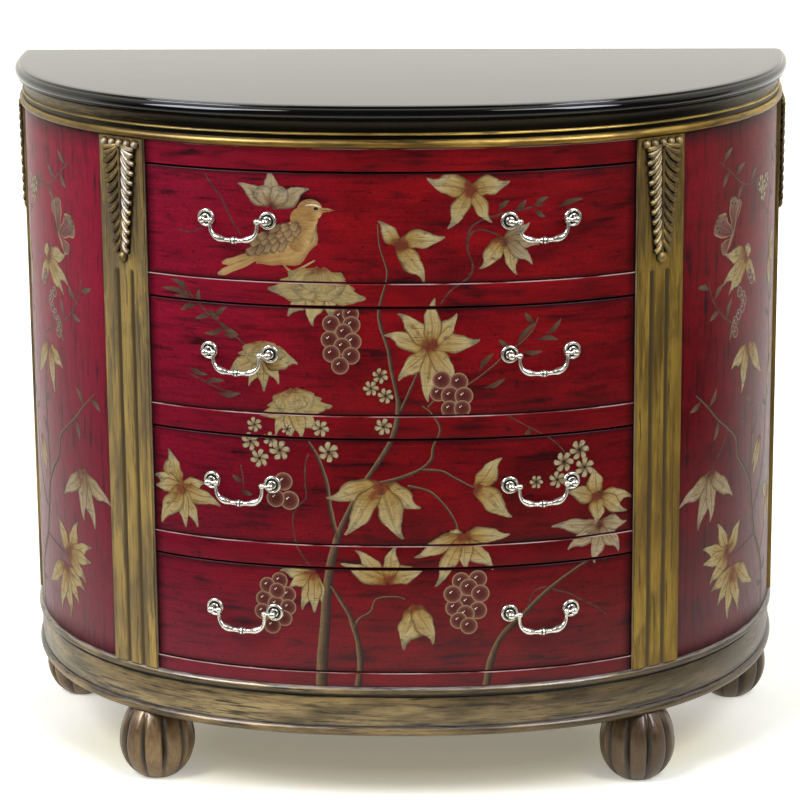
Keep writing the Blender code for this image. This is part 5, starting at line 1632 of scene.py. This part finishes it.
# %% What grows on the sides
wing_film = petal_paint("butterfly_wing_paint", [
    (0.0, "#5a2a26"), (0.45, "#6e3432"), (0.85, "#7c5648"), (1.0, "#8c7458")],
    "#7c5a48", "#a8946c", 0.5)
WING_SHAPE = [(0, 0.10), (0.35, 0.60), (0.72, 1.0), (0.92, 0.82), (1, 0.35)]
SIDE_SPRAYS = [
    (cream_leaf, (510, 632), [(547, 600, 18, -0.12), (520, 647, 20, 0), (457, 638, 19, -0.12),
        (451, 614, 18, 0.08), (463, 599, 17, 0.12)]),
    (cream_leaf, (520, 520), [(475, 505, 18, 0.1), (570, 470, 20, 0.12), (510, 462, 18, -0.1)]),
    (faded_leaf, (432, 378), [(372, 350, 18, 0.14), (402, 312, 20, 0.1), (438, 314, 18, -0.05),
        (486, 342, 19, -0.12)]),
    (cream_leaf, (580, 390), [(544, 366, 16, 0.1), (546, 348, 16, 0.12)]),
    (cream_leaf, (475, 262), [(455, 308, 18, 0.1), (502, 301, 19, -0.1), (422, 286, 18, 0.1),
        (420, 261, 17, 0.0), (431, 238, 17, 0.1)]),
    (cream_leaf, (487, 240), [(548, 200, 20, 0.12), (437, 228, 18, 0.1), (449, 206, 18, 0.12),
        (470, 179, 19, 0.06), (511, 183, 19, -0.08)]),
    (cream_leaf, (610, 620), [(650, 640, 19, 0.1), (655, 604, 18, 0.1), (622, 572, 18, -0.1)]),
    (faded_leaf, (630, 480), [(668, 500, 18, 0.1), (664, 455, 18, -0.1), (620, 436, 18, 0.1)]),
    (cream_leaf, (640, 300), [(600, 322, 18, 0.1), (676, 326, 18, -0.1), (662, 262, 19, 0.1),
        (622, 258, 18, -0.1)]),
]
SIDE_VINES = [
    (bark, [(590, 228, 8), (575, 247, 8), (560, 266, 7.4), (549, 300, 7), (540, 335, 6.4),
        (521, 360, 6), (497, 384, 5), (491, 408, 4.4), (470, 425, 3.8), (446, 441, 3.2),
        (425, 460, 2.6), (400, 480, 2)]),
    (bark, [(600, 150, 10), (604, 190, 9), (592, 228, 8)]),
    (bark, [(538, 348, 5), (540, 400, 4.6), (544, 440, 4), (540, 482, 3.4), (526, 518, 3)]),
    (bark, [(552, 300, 5), (584, 330, 4.6), (604, 370, 4.2), (612, 420, 3.8), (628, 478, 3.2),
        (620, 540, 2.8), (612, 618, 2.4)]),
    (dark_bark, [(530, 533, 2.2), (500, 548, 2.2), (462, 563, 2.4), (432, 590, 2),
        (420, 620, 1.8)]),
    (dark_bark, [(440, 760, 1.8), (464, 746, 2), (490, 729, 2), (520, 722, 1.8),
        (556, 728, 1.6)]),
    (dark_bark, [(612, 618, 2), (600, 660, 2), (612, 700, 2), (640, 730, 1.8), (652, 762, 1.6)]),
    (dark_bark, [(470, 425, 2), (455, 402, 2), (434, 381, 2)]),
    (dark_bark, [(560, 266, 2.4), (520, 262, 2.4), (482, 256, 2.2)]),
    (dark_bark, [(590, 232, 2.4), (615, 262, 2.4), (638, 296, 2.2)]),
]
SIDE_TWIG_LEAVES = [
    ((448, 757), (462, 768)), ((464, 746), (454, 734)), ((478, 737), (494, 746)),
    ((500, 726), (490, 714)), ((520, 722), (534, 733)), ((538, 724), (550, 712)),
    ((500, 548), (492, 564)), ((484, 553), (474, 541)), ((462, 563), (470, 580)),
    ((446, 576), (432, 570)), ((432, 590), (446, 603)), ((424, 606), (408, 610)),
    ((604, 190), (584, 196)), ((603, 205), (622, 214)), ((446, 441), (440, 424)),
    ((425, 460), (436, 474)), ((410, 472), (396, 464)), ((540, 400), (556, 412)),
    ((544, 440), (528, 450)), ((612, 420), (596, 428)), ((620, 540), (604, 548)),
    ((622, 556), (638, 566)), ((606, 672), (590, 680)), ((612, 700), (628, 694)),
    ((640, 730), (626, 742)), ((648, 750), (664, 748)),
]
WING_SPOTS = [(441, 675), (437, 680), (436, 686), (438, 692), (443, 697), (450, 700),
              (470, 706), (478, 704), (450, 686), (456, 692)]
# %% Paint both sides
for side in (-1, 1):
    for kind, middle, tips in SIDE_SPRAYS:
        spray(kind, (side * middle[0], middle[1]),
              [(side * s, z, width, side * bend) for s, z, width, bend in tips])
    for kind, points in SIDE_VINES:
        vine(kind, [(side * s, z, width) for s, z, width in points], 0.035)
    for index, (base, tip) in enumerate(SIDE_TWIG_LEAVES):
        long_tip = Vector(base).lerp(Vector(tip), 1.5)
        leaf_stroke(pale_twig, (side * base[0], base[1]), (side * long_tip.x, long_tip.y), 8,
                    0.14 * (-1) ** index, 0.045, LEAF_SHAPE, (10, 4))
    for step in range(8):
        grape(side * (493 + 14 * math.sin(0.8 * step)), 592 - 7 * step, 6.2, 0.15 + 0.004 * step)
    grape(side * 530, 602, 6.4, 0.15)
    grape(side * 523, 610, 6.4, 0.16)
    for s, z in ((570, 702), (584, 716), (560, 716)):
        blossom(side * s, z, 11)
    # a butterfly: two pairs of wings with spots, a slim body and two feelers
    for root, tip, width, bend in (
        ((474, 672), (492, 706), 14, 0.1), ((473, 670), (474, 713), 22, 0.0),
        ((470, 664), (446, 652), 18, 0.1), ((472, 667), (434, 688), 32, 0.0),
    ):
        leaf_stroke(wing_film, (side * root[0], root[1]), (side * tip[0], tip[1]), width,
                    side * bend, 0.10 + 0.0004 * width, WING_SHAPE)
    for s, z in WING_SPOTS:
        dot(ink, (side * s, z), (1.5, 1.5), 0.130, cells=(4, 4))
    leaf_stroke(feather, (side * 482, 682), (side * 458, 646), 6, 0.0, 0.14, LEAF_SHAPE, (10, 4))
    for end in ((494, 682), (490, 690)):
        vine(ink, [(side * 478, 670, 0.9), (side * (end[0] - 5), end[1] - 8, 0.8),
                   (side * end[0], end[1], 0.7)], 0.145)
print("strokes in all:", len(STROKES))

# %% [markdown]
# ## Painted vines: laying them on the bow
# The strokes are joined to one flat painting. For each panel a copy is sawn to the panel's
# own height and length, given some thickness that sinks into the lacquer, and bent along
# the bow with a Curve modifier. Gaps round the drawers stay free of paint.

# %% Bend the painting on to each panel
pick(*STROKES)
bpy.ops.object.join()
painting = bpy.context.object
bend_path = line("bend_path", [bow(math.pi / 2 * (i / 300 - 1))[0] for i in range(601)])
bend_path.data.twist_mode = "Z_UP"
# the paint stops just short of the drawers' ends and of the panels' four edges
END_RUN = along_bow(*bow(bow_angle(DRAWER_HALF - 0.0008))[0].xy)
PANEL_START = along_bow(*(front_spot + front_across * (FRONT_HALF + 0.0012)).xy)
PANEL_END = along_bow(*bow(bow_angle_from_wall(PANEL_EDGE + 0.0017))[0].xy)
SIDE_LOW, SIDE_HIGH = 0.1540, 0.8030


def lay_on(name, body, low, high, left, right, inset):
    """Saw out one panel of the painting, thicken it, bend it and set it on its body."""
    part = copy_of(painting, name)
    for place, way in (
        ((0, 0, low), (0, 0, -1)), ((0, 0, high), (0, 0, 1)),
        ((left + HALF_RUN, 0, 0), (-1, 0, 0)), ((right + HALF_RUN, 0, 0), (1, 0, 0)),
    ):
        in_edit(part, lambda: bpy.ops.mesh.bisect(plane_co=place, plane_no=way, clear_outer=True))
    in_edit(part, lambda: bpy.ops.mesh.extrude_region_move(
        TRANSFORM_OT_translate={"value": (0, 0.0005, 0)}))
    in_edit(part, lambda: bpy.ops.mesh.normals_make_consistent(inside=False),
            lambda: bpy.ops.transform.translate(value=(0, inset, 0)))
    bend = part.modifiers.new("bend", "CURVE")
    bend.object, bend.deform_axis = bend_path, "POS_X"
    apply_modifiers(part)
    bpy.ops.object.material_slot_remove_unused()
    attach(part, body)
    return part


laid = []
for number, floor in OPENINGS.items():
    laid.append(lay_on(f"painted_vines_drawer_{number}", f"drawer_{number}",
                       floor + 0.0022, floor + 0.1282, -END_RUN, END_RUN, 0.0015))
for number, (low, high) in enumerate(RAILS, 1):
    laid.append(lay_on(f"painted_vines_rail_{number}", "case", low + 0.0010, high - 0.0010,
                       -END_RUN, END_RUN, 0.0))
for side, left, right in (("left", -PANEL_END, -PANEL_START), ("right", PANEL_START, PANEL_END)):
    laid.append(lay_on(f"painted_vines_side_{side}", "case", SIDE_LOW, SIDE_HIGH, left, right, 0.0))
drop(painting, bend_path, *GRIDS.values())
for part in laid:
    print(part.name, len(part.data.polygons), "faces,", len(part.material_slots), "paints")

# %% [markdown]
# ## Floor, light and camera
# A plain studio: one very large pale floor, a soft sky and large soft lamps. The
# background is white because the floor and the sky look white to the camera and to
# reflections, not because more light falls on the chest. The camera's place, turn and long
# lens are those at which the chest's own edges lie as they do in the photograph.

# %% The floor
bpy.ops.object.select_all(action="DESELECT")
bpy.ops.mesh.primitive_plane_add(size=60, location=(0, 0, 0))
studio_floor = bpy.context.object
studio_floor.name = "studio_floor"

paper, tree, shader = new_finish("white_paper_floor", Roughness=0.9, Specular_IOR_Level=0.1)
seen = add(tree, "LightPath").outputs
mirrored = add(tree, "Math", [seen["Is Glossy Ray"], seen["Is Transmission Ray"]],
    operation="MAXIMUM")
shown = add(tree, "Math", [seen["Is Camera Ray"], mirrored], operation="MAXIMUM")
spots = add(tree, "TexCoord").outputs["Object"]
reach = add(tree, "VectorMath", [spots], operation="LENGTH")
# a painted shadow under the chest: less glow and an olive tint, wide and shallow as the chest is
shade = add(tree, "VectorMath", [add(tree, "Mapping", {"Vector": spots, "Scale": (0.42, 1, 1)})],
    operation="LENGTH")
open_floor = add(tree, "MapRange", [shade, 0.10, 0.22, 0.19, 0.44])
glow = add(tree, "Emission", {"Color": "#fffff6", "Strength": add(tree, "Math", [
    shown, open_floor], operation="MULTIPLY")})
feed(shader, Base_Color=glaze(tree, "#fbfbf6", shade, 0.19, 0.12, 1, "#f3f1b0"))
lit_paper = add(tree, "AddShader", [shader, glow])
# only polished surfaces see that the studio beyond the paper, 1.5 m from the chest, is dark
beyond = add(tree, "MapRange", [reach, 0.75, 1.55, 0.0, 0.94])
place = add(tree, "SeparateXYZ", [spots]).outputs
to_right = add(tree, "Math", [place["X"], 0.0], operation="MAXIMUM")
slanted = add(tree, "Math", [to_right, 0.35], operation="MULTIPLY")
forward = add(tree, "Math", [place["Y"], slanted], operation="SUBTRACT")
ahead = add(tree, "MapRange", [forward, 0.28, -0.42, 0, 1])
dark_there = add(tree, "Math", [beyond, ahead], operation="MULTIPLY")
dark_part = add(tree, "Math", [mirrored, dark_there], operation="MULTIPLY")
unlit = add(tree, "Emission", {"Color": "#101010", "Strength": 1.0})
feed(tree.nodes["Material Output"], Surface=add(tree, "MixShader", [dark_part, lit_paper, unlit]))
coat_with(paper, studio_floor)

# %% The sky
world = bpy.data.worlds.new("studio_sky")
bpy.context.scene.world = world
world.use_nodes = True
tree = world.node_tree
seen = add(tree, "LightPath").outputs
mirrored = add(tree, "Math", [seen["Is Glossy Ray"], seen["Is Transmission Ray"]],
    operation="MAXIMUM")
facing = add(tree, "SeparateXYZ", [add(tree, "TexCoord").outputs["Generated"]]).outputs
behind = add(tree, "MapRange", [facing["Y"], -0.35, 0.15, 0.08, 1.21])
for_mirrors = add(tree, "Math", [mirrored, behind], operation="MULTIPLY")
shown = add(tree, "Math", [seen["Is Camera Ray"], for_mirrors], operation="ADD")
either = add(tree, "Math", [seen["Is Camera Ray"], mirrored], operation="MAXIMUM")
unseen = add(tree, "Math", [1.0, either], operation="SUBTRACT")
lighting = add(tree, "Math", [unseen, 0.47], operation="MULTIPLY")
strength = add(tree, "Math", [shown, lighting], operation="ADD")
warm = add(tree, "Mix", [mirrored, "#ffffff", "#fffcf2"], **BLEND)
feed(tree.nodes["Background"], Color=warm, Strength=strength)

# %% Two lamps and two softboxes
for name, azimuth, height, power in (("sun_left", -46, 50, 1.30), ("sun_right", 40, 52, 0.92)):
    lamp = bpy.data.lights.new(name, "SUN")
    lamp.energy, lamp.angle = power, math.radians(20)
    holder = bpy.data.objects.new(name, lamp)
    bpy.context.scene.collection.objects.link(holder)
    holder.matrix_world = (Matrix.Rotation(math.radians(azimuth), 4, "Z")
                           @ Matrix.Rotation(math.radians(90 - height), 4, "X"))

# two tall softboxes that only polished surfaces show, as long bright lines on the mouldings
soft, tree, shader = new_finish("softbox_cloth")
feed(tree.nodes["Material Output"], Surface=add(tree, "Emission", {
    "Color": "#e4eaff", "Strength": 20.0}))
for side, azimuth, wide in (("left", -56, 1.7), ("right", 50, 1.1)):
    bpy.ops.object.select_all(action="DESELECT")
    bpy.ops.mesh.primitive_plane_add(size=1)
    box = bpy.context.object
    box.name = f"softbox_{side}"
    box.matrix_world = (
        Matrix.Rotation(math.radians(azimuth), 4, "Z") @ Matrix.Translation((0, -3.0, 2.9))
        @ Matrix.Rotation(math.radians(52), 4, "X") @ Matrix.Diagonal((wide, 2.2, 1, 1)))
    box.visible_camera = box.visible_diffuse = box.visible_shadow = False
    coat_with(soft, box)

# %% The camera
camera = bpy.data.cameras.new("studio_camera")
camera.lens, camera.sensor_width = 141.3, 36
camera.shift_x, camera.shift_y = -0.0314, 0.0060
camera_holder = bpy.data.objects.new("studio_camera", camera)
bpy.context.scene.collection.objects.link(camera_holder)
camera_holder.matrix_world = (
    Matrix.Translation((0.1514, -3.7859, 1.4138)) @ Matrix.Rotation(0.0309, 4, "Z")
    @ Matrix.Rotation(math.pi / 2 - 0.2508, 4, "X") @ Matrix.Rotation(-0.0062, 4, "Z"))
bpy.context.scene.camera = camera_holder
bpy.context.scene.view_settings.view_transform = "Standard"
